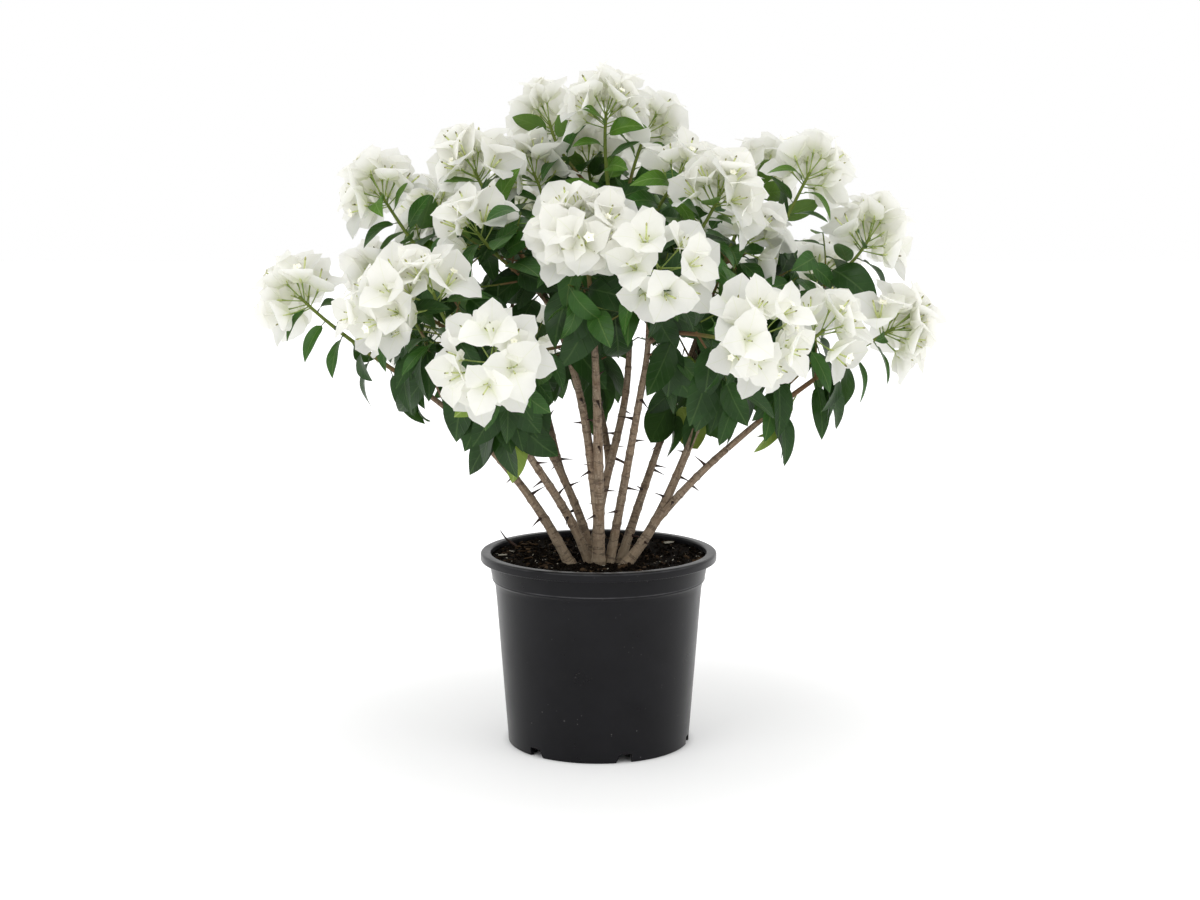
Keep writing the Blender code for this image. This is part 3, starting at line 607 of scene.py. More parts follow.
leafShape = {"gap": 0.0118, "fromHead": 0.014, "fromEnd": 0.001, "fromFork": 0.003, "openers": 4, "tries": 6,
             "length": (0.052, 0.070), "wide": 0.56, "petiole": 0.17, "roll": 0.8, "lowest": 0.298,
             "sunAway": 0.35, "sunFrom": 0.05, "rimBelow": 0.47, "rimFrom": 0.12, "hangBelow": 0.46,
             "jitter": 0.3, "openTurn": (0.7, 1.2), "tryTurn": 0.7, "tipSmall": 0.30, "topSmall": 0.15}
leafHang = {"least": 0.1, "more": 1.6, "heights": (0.57, 0.42), "tipLess": 0.7, "tipShares": (0.45, 0.95),
            "rise": 0.4, "riseMore": 0.35, "riseHeights": (0.48, 0.62)}
gaps = [  # holes that one looks through from the front: across, height and radius at the pot's axis
    (-0.125, 0.504, 0.009), (-0.107, 0.510, 0.006), (-0.070, 0.481, 0.006), (-0.084, 0.471, 0.006),
    (-0.051, 0.451, 0.005), (-0.037, 0.442, 0.005), (-0.058, 0.431, 0.004), (-0.063, 0.420, 0.005),
    (-0.007, 0.425, 0.004), (-0.033, 0.376, 0.004), (-0.034, 0.345, 0.012), (-0.018, 0.363, 0.003),
    (0.006, 0.402, 0.004), (0.036, 0.444, 0.005), (0.037, 0.405, 0.006), (0.063, 0.407, 0.004),
    (0.048, 0.363, 0.003), (0.026, 0.352, 0.008), (0.094, 0.423, 0.009), (0.117, 0.484, 0.008),
    (0.140, 0.514, 0.007), (-0.168, 0.447, 0.005), (-0.158, 0.460, 0.005), (-0.166, 0.423, 0.005),
    (-0.235, 0.371, 0.008), (-0.204, 0.338, 0.006), (-0.172, 0.353, 0.005), (-0.206, 0.304, 0.012),
    (-0.155, 0.306, 0.008), (-0.268, 0.377, 0.008), (0.168, 0.319, 0.005), (0.195, 0.306, 0.005),
    (0.140, 0.296, 0.008), (0.226, 0.332, 0.010), (0.215, 0.395, 0.006), (0.217, 0.346, 0.006),
    (0.158, 0.350, 0.004),
    (-0.222, 0.398, 0.003), (-0.184, 0.369, 0.003),  # along a bare cane
]


class Standing:  # what stands already, so that nothing new crosses it

    def __init__(self):
        self.trees, self.spheres = [], np.zeros((0, 4))

    def add(self, points, faces):
        middle, reach = self.ball(points)
        self.trees.append(BVHTree.FromPolygons(points, faces))
        self.spheres = np.vstack([self.spheres, [*middle, reach]])

    def ball(self, points):
        middle = sum(points, Vector()) / len(points)
        return middle, max((point - middle).length for point in points)

    def isFree(self, points, faces):
        middle, reach = self.ball(points)
        apart = np.linalg.norm(self.spheres[:, :3] - np.array(middle), axis=1) - self.spheres[:, 3] - reach
        tree = BVHTree.FromPolygons(points, faces)
        return not any(tree.overlap(self.trees[index]) for index in np.nonzero(apart < 0)[0])

    def addIfFree(self, points, faces):
        isFree = self.isFree(points, faces)
        if isFree:
            self.add(points, faces)
        return isFree


def strandProbe(path, radius):  # a three-sided stand-in for a stem
    points, faces = [], []
    for index, at in enumerate(path):
        way = (path[min(index + 1, len(path) - 1)] - path[max(index - 1, 0)]).normalized()
        points += [at + sideways(way, turn) * radius for turn in turnsOf(3)]
        if index:
            low = 3 * (index - 1)
            faces += [(low + s, low + (s + 1) % 3, low + 3 + (s + 1) % 3, low + 3 + s) for s in range(3)]
    return points, faces


def leafProbe(at, way, above, long, wide):
    across = way.cross(above).normalized()
    middle = at + way * long * 0.5
    half = across * wide * probeShape["leafHalf"]
    tip = at + way * long * probeShape["leafTo"] - above * long * probeShape["leafSag"]
    return [at + way * probeShape["leafFrom"], middle + half, tip, middle - half], [(0, 1, 2), (0, 2, 3)]


def flowerProbe(base, way, turn, bract):
    points = [base]
    for index in range(6):
        out = sideways(way, turn + index * math.tau / 6) * probeShape["cupReach"][index % 2]
        points.append(base + (way * probeShape["cupRise"] + out) * bract * probeShape["cup"])
    return points, [(0, index + 1, (index + 1) % 6 + 1) for index in range(6)]


def growShoots(name):
    stem = stems[name]
    start, found = stem["path"][-1], []
    for index, (azimuth, reach, height, lookUp, count) in enumerate(heads[name]):
        end, tilt = place(azimuth, reach, height), math.radians(lookUp)
        endWay = place(azimuth, math.cos(tilt), math.sin(tilt))
        if index == 0:
            path = smoothPath(start, stem["way"], end, endWay, shootShape["steps"])
            radius, birth = bush["caneTip"], shootShape["birth"]
        else:
            share = shootShape["forkFrom"] + shootShape["forkStep"] * index
            fork, forkWay = along(found[0]["path"], share)
            startWay = ((end - fork).normalized() + shootShape["forkPull"] * forkWay).normalized()
            path = smoothPath(fork, startWay, end, endWay, shootShape["steps"])
            radius = shootShape["sideGirth"] * (bush["caneTip"] + (bush["shootEnd"] - bush["caneTip"]) * share)
            birth = shootShape["sideBirth"]
        found.append({"path": path, "radius": radius, "end": bush["shootEnd"], "way": endWay, "birth": birth,
                      "flowers": count})
    return found


def growTwigs(shoot, index):  # finer leafy side twigs, carried on from the shoot by the same turns
    found = []
    for number in range(twigShape["count"]):
        step = number + chance.uniform(*twigShape["jitter"])
        at, way = along(shoot["path"], twigShape["from"] + twigShape["spread"] * step / twigShape["count"])
        out = sideways(way, number * golden + index * twigShape["turn"])
        startWay = (out + 0.8 * way).normalized()
        endWay = (out + 0.5 * way + 0.35 * up).normalized()
        end = at + (startWay + endWay).normalized() * chance.uniform(*twigShape["length"])
        path = smoothPath(at, startWay, end, endWay, twigShape["steps"])
        found.append({"path": path, "radius": twigShape["radius"], "end": twigShape["end"],
                      "birth": twigShape["birth"], "flowers": 0})
    return found


def shootStrand(shoot):  # it starts inside what carries it
    spread = [0.0, *shares(shoot["path"])]
    start, after = shoot["path"][:2]
    root = start - (after - start).normalized() * shootShape["rootIn"]
    return {"points": [root, *shoot["path"]],
            "radii": [shoot["radius"] + (shoot["end"] - shoot["radius"]) * share for share in spread],
            "youth": [shoot["birth"] + (1 - shoot["birth"]) * smoothStep(share, 0.15, 0.95) for share in spread]}


def growFlowers(crown, shoot, index):  # a head that faces front or back is a ring, any other is open to the front
    tip, way = shoot["path"][-1], shoot["way"]
    pedicels, flowers = [], []
    isRing = abs(way.y) > 0.5
    kind = headShape["ring" if isRing else "fan"]
    front = (Vector((0, -1, 0)) + way * way.y).normalized()
    count = round(shoot["flowers"] * headShape["crowd"])
    for number in range(count):
        share = number / (count - 1)
        degrees = kind["first"] + (kind["last"] - kind["first"]) * share ** headShape["spread"]
        polar = math.radians(degrees)
        out = sideways(way, number * golden + index)
        isOpen = out.angle(front) < math.radians(headShape["open"]) and degrees > headShape["openFrom"]
        if isOpen and not isRing:
            continue
        start = tip - way * (headShape["top"] + headShape["depth"] * share)
        startWay = way * math.cos(polar) + out * math.sin(polar)
        endWay = way * math.cos(polar * kind["facing"]) + out * math.sin(polar * kind["facing"])
        reach = chance.uniform(*kind["pedicel"])
        base = start + startWay * reach
        bract = chance.uniform(*kind["bract"])
        turn = chance.uniform(0, math.tau)
        if not crown.addIfFree(*flowerProbe(base, endWay, turn, bract)):
            continue
        radii = [headShape["pedicelRadius"] * girth for girth in headShape["pedicelGirths"]]
        leave, arrive = startWay * reach * headShape["pull"], endWay * reach * headShape["pull"]
        path = interpolate_bezier(start, start + leave, base - arrive, base, len(radii))
        pedicels.append({"points": path, "radii": radii, "youth": [1.0] * len(radii)})
        flowers.append((base, endWay, turn, bract))
    return pedicels, flowers


def leafWays(at, shootWay, turn, share):  # the lower on the bush and on its shoot, the more a leaf hangs
    hang = leafHang["least"] + leafHang["more"] * smoothStep(at.z, *leafHang["heights"]) * (
        1 - leafHang["tipLess"] * smoothStep(share, *leafHang["tipShares"]))
    rise = leafHang["rise"] + leafHang["riseMore"] * smoothStep(at.z, *leafHang["riseHeights"])
    way = (sideways(shootWay, turn) + rise * shootWay - Vector((0, 0, hang))).normalized()
    sun = Vector((at.x, at.y + math.copysign(leafShape["sunAway"], at.y - leafShape["sunFrom"]), 0)).normalized()
    outside = sun * max(hang, 0.6) + Vector((0, 0, 0.7)) + 0.4 * shootWay
    return way, (outside - way * outside.dot(way)).normalized()


def isInGap(at, way, above, long, wide):
    across = way.cross(above).normalized()
    spots = [at + way * long * step / 9 + across * wide * side * math.sin(math.pi * step / 9)
             for step in range(1, 10) for side in (-0.5, -0.25, 0, 0.25, 0.5)]  # all over the blade
    ahead = np.array([spot - eye for spot in spots])
    seen = np.array(eye) - ahead * (eye.y / ahead[:, 1])[:, None]  # on the upright plane through the pot's axis
    places = np.array(gaps)
    away = np.hypot(seen[:, 0, None] - places[:, 0], seen[:, 2, None] - places[:, 1])
    return bool((away < places[:, 2]).any())


def growLeaves(crown, shoot):
    found = []
    length = lengthOf(shoot["path"])
    fromEnd = leafShape["fromHead"] if shoot["flowers"] else leafShape["fromEnd"]
    for number in range(int((length - fromEnd - leafShape["fromFork"]) / leafShape["gap"])):
        share = 1 - (fromEnd + number * leafShape["gap"]) / length
        at, way = along(shoot["path"], share)
        small = (1 - leafShape["tipSmall"] * smoothStep(share, 0.35, 1.0)) * (
            1 - leafShape["topSmall"] * smoothStep(at.z, 0.5, 0.62))
        long = chance.uniform(*leafShape["length"]) * small
        turn = number * golden + chance.uniform(-leafShape["jitter"], leafShape["jitter"])
        if shoot["flowers"] and number < leafShape["openers"]:  # the first ones under a head lie in its opening
            start = sideways(way, 0)
            aside = (-1, 1)[number % 2] * chance.uniform(*leafShape["openTurn"])
            turn = math.atan2(-way.cross(start).y, -start.y) + aside
        for attempt in range(leafShape["tries"]):
            leafWay, above = leafWays(at, way, turn + attempt * leafShape["tryTurn"], share)
            size = (long * (1 + leafShape["petiole"]), long * leafShape["wide"])
            if (at + leafWay * long).z < leafShape["lowest"] or isInGap(at, leafWay, above, *size):
                continue
            above = Matrix.Rotation(chance.uniform(-leafShape["roll"], leafShape["roll"]), 3, leafWay) @ above
            if crown.addIfFree(*leafProbe(at, leafWay, above, *size)):
                across = leafWay.cross(above).normalized()
                found.append({"at": at, "turn": facing(across, leafWay, above), "long": long, "share": share})
                break
    return found


crown = Standing()
for stem in stems.values():
    crown.add(*strandProbe(stem["path"][::6], probeShape["stem"]))
shoots = [shoot for name in heads for shoot in growShoots(name)]
twigs = [twig for index, shoot in enumerate(shoots) for twig in growTwigs(shoot, index)]
for shoot in shoots:
    crown.add(*strandProbe(shoot["path"][::3], probeShape["shoot"]))
pedicels, flowers = [], []
for index, shoot in enumerate(shoots):
    newPedicels, newFlowers = growFlowers(crown, shoot, index % len(heads))
    pedicels += newPedicels
    flowers += newFlowers
for twig in twigs:
    end = twig["path"][-1]
    isInside = twigShape["lowest"] < end.z < twigShape["highest"] and math.hypot(end.x, end.y) < twigShape["reach"]
    if isInside and crown.addIfFree(*strandProbe(twig["path"][2:], probeShape["twig"])):
        shoots.append(twig)
leaves = [leaf for shoot in shoots for leaf in growLeaves(crown, shoot)]
print("crown has", len(shoots), "shoots and twigs,", len(flowers), "flowers and", len(leaves), "leaves")

shootPiece = stemPiece("shoots", [shootStrand(shoot) for shoot in shoots], barkMaterial,
                       shootShape["sides"], shootShape["relief"], shootShape["grain"])


# blades

leafOutline = (2.615, 0.62, 0.78, 0.22)  # fullness, power at the base and at the tip, and how cusped
bractOutline = (2.60, 0.60, 0.80, 0.42)
leafStalk = ((0.0, 0.0, 0.020), (0.5, 0.012, 0.014), (1.15, 0.002, 0.010))  # share of the petiole, rise, radius


def bladeMesh(name, across, steps, pointOf, stalk=None):  # a grid of quads between two edges that meet at the ends
    bm = bmesh.new()
    uvs = {}
    rows = []
    for step in range(steps + 1):
        row = []
        for side in range(across + 1):
            if step in (0, steps) and side:
                row.append(row[0])
                continue
            point, uv = pointOf(step / steps, 2 * side / across - 1)
            vertex = bm.verts.new(point)
            uvs[vertex] = uv
            row.append(vertex)
        rows.append(row)
    for low, high in zip(rows, rows[1:]):
        for side in range(across):
            corners = []
            for vertex in (low[side], low[side + 1], high[side + 1], high[side]):
                if vertex not in corners:
                    corners.append(vertex)
            if len(corners) > 2:
                bm.faces.new(corners)
    if stalk:
        loops = []
        for at, radius in stalk:
            ring = [bm.verts.new(at + Vector((math.cos(turn), 0, math.sin(turn))) * radius) for turn in turnsOf(4)]
            uvs.update({vertex: (0.5, 0.02) for vertex in ring})
            loops.append(ring)
        for low, high in zip(loops, loops[1:]):
            for side in range(4):
                after = (side + 1) % 4
                bm.faces.new((low[after], low[side], high[side], high[after]))
        bm.faces.new(loops[0])
    layer = bm.loops.layers.uv.new("blade")
    for face in bm.faces:
        for loop in face.loops:
            loop[layer].uv = uvs[loop.vert]
    return meshFrom(bm, name)


def halfWidth(wide, along, outline):  # fullest at 1, drawn out to a point
    full, base, tip, cusp = outline
    half = 0.5 * wide * full * along**base * (1 - along) ** tip if 0 < along < 1 else 0
    return half * (1 - cusp * smoothStep(along, 0.76, 1.0))


def leafMesh(index, wide, droop, fold, wave, twist, sickle=0.0):
    petiole = leafShape["petiole"]

    def pointOf(along, side):
        half = halfWidth(leafShape["wide"] * wide, along, leafOutline)
        x, turn = side * half, twist * along
        lift = fold * abs(x) - droop * along**2 + wave * math.sin(9 * along + 2 * side) * abs(side) * half
        y = petiole + along * math.cos(droop * along)
        point = Vector((x * math.cos(turn) + sickle * along**2, y, lift + x * math.sin(turn)))
        return point, (0.5 + x / wide, along)

    stalk = [(Vector((0, petiole * share, rise)), radius) for share, rise, radius in leafStalk]
    return bladeMesh(f"leafShape{index}", 4, 12, pointOf, stalk)


def bractMesh(index, low, high, bend, cup, wave):  # angles from the flower's axis, at the base and the tip
    def angleAt(along):
        return math.radians(low + (high - low) * along**bend)

    def pointOf(along, side):
        half = halfWidth(bractShape["wide"], along, bractOutline)
        half *= 1 + bractShape["crinkle"] * math.sin(17 * along + 2.1 * index + side)
        parts = [along * (part + 0.5) / 12 for part in range(12)]  # the middle line, out from the axis
        reach = sum(math.sin(angleAt(part)) for part in parts) * along / 12
        rise = sum(math.cos(angleAt(part)) for part in parts) * along / 12
        x = side * half
        lift = cup * side * side * half + wave * math.sin(9 * along + 3 * side) * abs(side) * half
        angle = angleAt(along)
        return Vector((x, reach - math.cos(angle) * lift, rise + math.sin(angle) * lift)), (0.5 + x, along)

    return bladeMesh(f"bractShape{index}", 6, 10, pointOf)


def bladeMaterial(name, look, tints):  # light comes through a blade, so a translucent share is mixed in
    base, deep, rib, under, through = tints
    material, tree, sockets = newMaterial(name, look["roughness"], Specular_IOR_Level=look["specular"])
    uv = addNode(tree, "ShaderNodeUVMap", uv_map="blade").outputs["UV"]
    pattern = usedGroup(tree, veins, uv, Pairs=look["pairs"], Slant=look["slant"], Width=look["ribWidth"])
    colour = mixColours(tree, maskOf(tree, mottle, Scale=look["patches"], Contrast=1.6), base, deep)
    colour = tinted(tree, colour, rampNode(tree, axesOf(tree, uv)["Y"], 0.42, 0.0), look["footShare"], rib)
    colour = tinted(tree, colour, pattern["Veins"], look["veinShare"], rib)
    colour = tinted(tree, colour, pattern["Midrib"], look["ribShare"], rib)
    behind = tree.nodes.new("ShaderNodeNewGeometry").outputs["Backfacing"]
    colour = tinted(tree, colour, behind, 0.6, under)
    tree.links.new(colour, sockets["Base Color"])
    bumped(tree, sockets, mathNode(tree, "MAXIMUM", pattern["Veins"], pattern["Midrib"]), look["relief"])
    passing = mixColours(tree, look["throughShare"], colour, through)
    glow = addNode(tree, "ShaderNodeBsdfTranslucent", {"Color": passing})
    surface = addNode(tree, "ShaderNodeMixShader", {
        0: look["translucent"], 1: tree.nodes["Principled BSDF"].outputs["BSDF"], 2: glow.outputs["BSDF"]})
    tree.links.new(surface.outputs["Shader"], tree.nodes["Material Output"].inputs["Surface"])
    return material


leafLook = {"roughness": 0.40, "specular": 0.22, "pairs": 6.0, "slant": 1.0, "ribWidth": 0.024,
            "patches": 30.0, "footShare": 0.0, "veinShare": 0.20, "ribShare": 0.70, "relief": 0.0005,
            "translucent": 0.14, "throughShare": 0.7}
leafTints = {  # base, deeper shade, rib, underside, and what comes through
    "leavesDark": ((0.018, 0.054, 0.010, 1), (0.009, 0.030, 0.005, 1), (0.055, 0.105, 0.028, 1),
                   (0.038, 0.074, 0.024, 1), (0.08, 0.22, 0.02, 1)),
    "leavesGreen": ((0.034, 0.100, 0.016, 1), (0.018, 0.060, 0.010, 1), (0.100, 0.170, 0.045, 1),
                    (0.065, 0.120, 0.036, 1), (0.14, 0.33, 0.03, 1)),
    "leavesBright": ((0.072, 0.165, 0.014, 1), (0.044, 0.115, 0.012, 1), (0.170, 0.280, 0.070, 1),
                     (0.120, 0.200, 0.055, 1), (0.26, 0.48, 0.05, 1)),
    "leavesLime": ((0.200, 0.285, 0.040, 1), (0.140, 0.225, 0.035, 1), (0.340, 0.420, 0.140, 1),
                   (0.230, 0.300, 0.080, 1), (0.40, 0.52, 0.07, 1)),
}
leafForms = [  # width, droop, fold, wave, twist and sideways curve; the last two are narrow and curved
    (0.94, 0.34, 0.20, 0.05, 0.10), (1.0, 0.58, 0.26, 0.08, -0.22), (0.84, 0.18, 0.14, 0.06, 0.0),
    (0.90, 0.85, 0.22, 0.05, 0.30), (0.62, 0.40, 0.30, 0.08, 0.35, 0.16), (0.70, 0.30, 0.36, 0.07, -0.35, -0.14),
]
leafStore = shapeStore("leafShapes", [leafMesh(index, *form) for index, form in enumerate(leafForms)])
tintRule = {"limeBelow": 0.42, "limeShare": 0.03, "limeSide": 0.08, "limeSideBelow": 0.37, "limeSideShare": 0.40,
            "bright": 0.72, "green": 0.28, "uneven": 0.25}


def leafTint(leaf):  # leaves higher on the bush and nearer a shoot's tip are brighter, and some low ones are lime
    lightness = smoothStep(leaf["at"].z, 0.47, 0.64) * 0.7 + 0.45 * smoothStep(leaf["share"], 0.55, 1.0)
    lightness += chance.uniform(-tintRule["uneven"], tintRule["uneven"])
    isLowSide = leaf["at"].x > tintRule["limeSide"] and leaf["at"].z < tintRule["limeSideBelow"]
    limeShare = tintRule["limeSideShare" if isLowSide else "limeShare"]
    if leaf["at"].z < tintRule["limeBelow"] and chance.random() < limeShare:
        return "leavesLime"
    return ("leavesBright" if lightness > tintRule["bright"] else "leavesGreen" if lightness > tintRule["green"]
            else "leavesDark")


def leafKind(at):
    kind = chance.choice((0, 2)) if at.z < leafShape["hangBelow"] else chance.randrange(4)  # it bends less
    if at.z < leafShape["rimBelow"] and abs(at.x) > leafShape["rimFrom"]:
        kind = 4 + chance.randrange(2)
    return kind


leavesByTint = {tint: [] for tint in leafTints}
for leaf in leaves:
    kind = leafKind(leaf["at"])
    leavesByTint[leafTint(leaf)].append((leaf["at"], leaf["turn"], leaf["long"], kind))
leafPieces = [sprayPiece(tint, found, leafStore, bladeMaterial(tint, leafLook, leafTints[tint]))
              for tint, found in leavesByTint.items()]

bractShape = {"wide": 0.86, "crinkle": 0.075, "turn": 0.12, "tilt": 0.14, "size": (0.92, 1.05)}
bractForms = [  # angle from the flower's axis at the base and at the tip, bend, cup and wave
    (32, 76, 1.2, 0.08, 0.05), (26, 88, 1.4, 0.05, 0.08), (36, 70, 1.0, 0.10, 0.05), (34, 96, 1.5, 0.03, 0.07)]
bractLook = {"roughness": 0.6, "specular": 0.25, "pairs": 4.0, "slant": 0.9, "ribWidth": 0.016,
             "patches": 34.0, "footShare": 0.62, "veinShare": 0.05, "ribShare": 0.34, "relief": 0.0002,
             "translucent": 0.60, "throughShare": 0.6}
bractTints = ((0.93, 0.920, 0.895, 1), (0.90, 0.895, 0.860, 1), (0.71, 0.77, 0.43, 1),
              (0.91, 0.905, 0.875, 1), (0.96, 0.96, 0.915, 1))
bractStore = shapeStore("bractShapes", [bractMesh(index, *form) for index, form in enumerate(bractForms)])
bractPlaces = []
for base, way, turn, bract in flowers:
    for third in turnsOf(3):
        out = sideways(way, turn + third + chance.uniform(-bractShape["turn"], bractShape["turn"]))
        tilt = Matrix.Rotation(chance.uniform(-bractShape["tilt"], bractShape["tilt"]), 3, way.cross(out))
        axis, out = tilt @ way, tilt @ out
        bractPlaces.append((base, facing(out.cross(axis), out, axis), bract * chance.uniform(*bractShape["size"]),
                            chance.randrange(len(bractForms))))
bractPiece = sprayPiece("bracts", bractPlaces, bractStore, bladeMaterial("bractPaper", bractLook, bractTints))

pedicelMaterial = mottledMaterial("freshGreen", 0.5, (0.13, 0.22, 0.035, 1), (0.30, 0.37, 0.10, 1),
                                  scale=90.0, contrast=1.4, Specular_IOR_Level=0.3)
pedicelPiece = stemPiece("pedicels", pedicels, pedicelMaterial, 6)


# flower tubes and their little stars

tubeShape = {"length": 0.44, "sides": 5, "star": 0.12, "starInner": 0.72, "starPoints": 15, "opened": 0.38,
             "lean": (0.16, 0.30), "fromAxis": 0.03}
tubeRings = ((0.0, 0.018), (0.09, 0.028), (0.22, 0.017), (0.41, 0.020), (0.44, 0.014))  # height, radius
tipRings = ((0.410, 0.015), (0.44, 0.022), (0.470, 0.014), (0.485, 0.003))


def turnedMesh(name, profile):
    return ringMesh(name, [[(math.cos(turn) * radius, math.sin(turn) * radius, height)
                            for turn in turnsOf(tubeShape["sides"])] for height, radius in profile])


def starMesh():  # five rounded points round a shallow throat
    bm = bmesh.new()
    throat = bm.verts.new((0, 0, tubeShape["length"] - 0.01))
    rim = []
    for number, turn in enumerate(turnsOf(tubeShape["starPoints"])):
        reach = tubeShape["star"] * (tubeShape["starInner"] if number % 3 else 1.0)
        lift = 0.012 if number % 3 else 0.03
        rim.append(bm.verts.new((math.cos(turn) * reach, math.sin(turn) * reach, tubeShape["length"] + lift)))
    for first, second in zip(rim, rim[1:] + rim[:1]):
        bm.faces.new((throat, first, second))
    return meshFrom(bm, "starShape", isSmooth=False)


tubePlaces, starPlaces, tipPlaces = [], [], []
for base, way, turn, bract in flowers:
    opened = chance.randrange(3) if chance.random() < tubeShape["opened"] else -1
    for number, third in enumerate(turnsOf(3)):
        out = sideways(way, turn + third)
        lean = (way + out * chance.uniform(*tubeShape["lean"])).normalized()
        across = lean.cross(out).normalized()
        spot = (base + out * bract * tubeShape["fromAxis"], facing(across, lean.cross(across), lean),
                bract * (0.85 + 0.55 * chance.random() ** 2), 0)
        tubePlaces.append(spot)
        (starPlaces if number == opened else tipPlaces).append(spot)
flowerParts = [  # name, places, shape, then the material's name, colours, scale and contrast
    ("flowerTubes", tubePlaces, turnedMesh("tubeShape", tubeRings),
     "paleTube", (0.46, 0.54, 0.17, 1), (0.70, 0.74, 0.38, 1), 120.0, 1.4),
    ("flowerStars", starPlaces, starMesh(),
     "starCream", (0.90, 0.89, 0.80, 1), (0.84, 0.82, 0.64, 1), 220.0, 1.2),
    ("flowerTips", tipPlaces, turnedMesh("tipShape", tipRings),
     "tipBrown", (0.075, 0.065, 0.022, 1), (0.46, 0.46, 0.18, 1), 150.0, 1.6),
]
flowerPieces = []
for name, found, mesh, look, first, second, scale, contrast in flowerParts:
    material = mottledMaterial(look, 0.5, first, second, scale, contrast)
    flowerPieces.append(sprayPiece(name, found, shapeStore(name + "Shapes", [mesh]), material))


# pot

pot = {"height": 0.205, "lipRadius": 0.125, "lipDepth": 0.009, "opening": 0.1142, "collarDepth": 0.023,
       "collarTop": 0.1160, "collarLow": 0.1124, "shoulder": 0.1094, "foot": 0.0965, "wall": 0.0016,
       "footWall": 0.0026, "disc": 0.060, "raise": 0.0075, "steps": 144, "notches": 6, "notchWidth": 0.013,
       "notchSlant": 0.004, "notchHeight": 0.009, "notchInward": 0.014, "firstNotch": math.radians(287)}
# potLook's line colour for the lip's top edge and the collar's bead is a painted highlight
potLook = {"dark": (0.0032, 0.0031, 0.0042, 1), "pale": (0.0054, 0.0053, 0.0068, 1),
           "dust": (0.26, 0.25, 0.24, 1), "paintedHighlight": (0.22, 0.22, 0.23, 1), "dustTop": 0.075, "dustLow": 0.010}


def arc(radius, height, size, first, last, count=5):  # points round (radius, height), angles in degrees
    turns = [math.radians(first + (last - first) * index / count) for index in range(count + 1)]
    return [(radius + size * math.cos(turn), height + size * math.sin(turn)) for turn in turns]


def potProfile():
    lipLow = pot["height"] - pot["lipDepth"]
    collarLow = lipLow - pot["collarDepth"]
    floor = pot["raise"] + pot["wall"]
    return [
        (0, pot["wall"]), (pot["disc"], pot["wall"]), (pot["disc"] + 0.004, floor),
        (pot["foot"] - pot["footWall"], floor), (pot["shoulder"] - pot["wall"], collarLow),
        (pot["collarLow"] - pot["wall"], collarLow + 0.002), (pot["opening"], lipLow),
        *arc(pot["opening"] + 0.0020, pot["height"] - 0.0020, 0.0020, 180, 90),
        *arc(pot["lipRadius"] - 0.0026, pot["height"] - 0.0026, 0.0026, 90, 0, 7),
        *arc(pot["lipRadius"] - 0.0016, lipLow + 0.0016, 0.0016, 0, -90, 4),
        (pot["collarTop"] + 0.0012, lipLow), *arc(pot["collarTop"] + 0.0010, lipLow - 0.0010, 0.0010, 90, 180, 3),
        (pot["collarLow"] + 0.0004, collarLow + 0.0042),
        *arc(pot["collarLow"] - 0.0010, collarLow + 0.0036, 0.0016, 20, -60, 5),
        (pot["shoulder"] + 0.0013, collarLow + 0.0002), (pot["shoulder"] + 0.0002, collarLow - 0.0050),
        (pot["shoulder"] - 0.0012, collarLow - 0.0200), (pot["foot"] + 0.0004, 0.006),
        *arc(pot["foot"] - 0.0012, 0.0014, 0.0014, 0, -90, 4),
        (pot["foot"] - pot["footWall"] - 0.0012, 0), (pot["foot"] - pot["footWall"] - 0.002, pot["raise"]),
        (pot["disc"] + 0.0035, pot["raise"]), (pot["disc"], 0), (0, 0)]


def makePot(material):
    profile = bpy.data.meshes.new("potProfile")
    points = potProfile()
    profile.from_pydata([(r, 0, z) for r, z in points], [(i, i + 1) for i in range(len(points) - 1)], [])
    body = newObject("nurseryPot", profile)
    screw = body.modifiers.new("turn", "SCREW")
    screw.steps = screw.render_steps = pot["steps"]
    screw.use_merge_vertices = True
    screw.merge_threshold = 0.00001
    settle(body, "nurseryPot")
    cutters = bpy.data.collections.new("notchCutters")
    for index in range(pot["notches"]):
        bm = bmesh.new()
        middle = pot["foot"] - pot["notchInward"] / 2 + 0.003
        size = Matrix.Diagonal((pot["notchInward"], pot["notchWidth"], 2 * pot["notchHeight"], 1))
        bmesh.ops.create_cube(bm, size=1, matrix=Matrix.Translation((middle, 0, 0)) @ size)
        side = 1 if index % 2 else -1  # the slant changes sides from one notch to the next
        slanted = [v for v in bm.verts if v.co.z < 0 and v.co.y * side > 0]
        bmesh.ops.translate(bm, verts=slanted, vec=(0, side * 2 * pot["notchSlant"], 0))
        turn = pot["firstNotch"] + index * math.tau / pot["notches"]
        bmesh.ops.rotate(bm, verts=bm.verts, matrix=Matrix.Rotation(turn, 3, "Z"))
        cutters.objects.link(bpy.data.objects.new(f"notch{index}", meshFrom(bm, "notch", isSmooth=False)))
    cut = body.modifiers.new("notches", "BOOLEAN")
    cut.operation = "DIFFERENCE"
    cut.operand_type = "COLLECTION"
    cut.collection = cutters
    settle(body, "nurseryPot", material)
    for helper in list(cutters.objects):
        bpy.data.objects.remove(helper)
    bm = bmesh.new()
    bm.from_mesh(body.data)
    bmesh.ops.recalc_face_normals(bm, faces=bm.faces)
    for face in bm.faces:
        face.smooth = True
    bm.to_mesh(body.data)
    bm.free()
    body.data.set_sharp_from_angle(angle=math.radians(32))
    return body


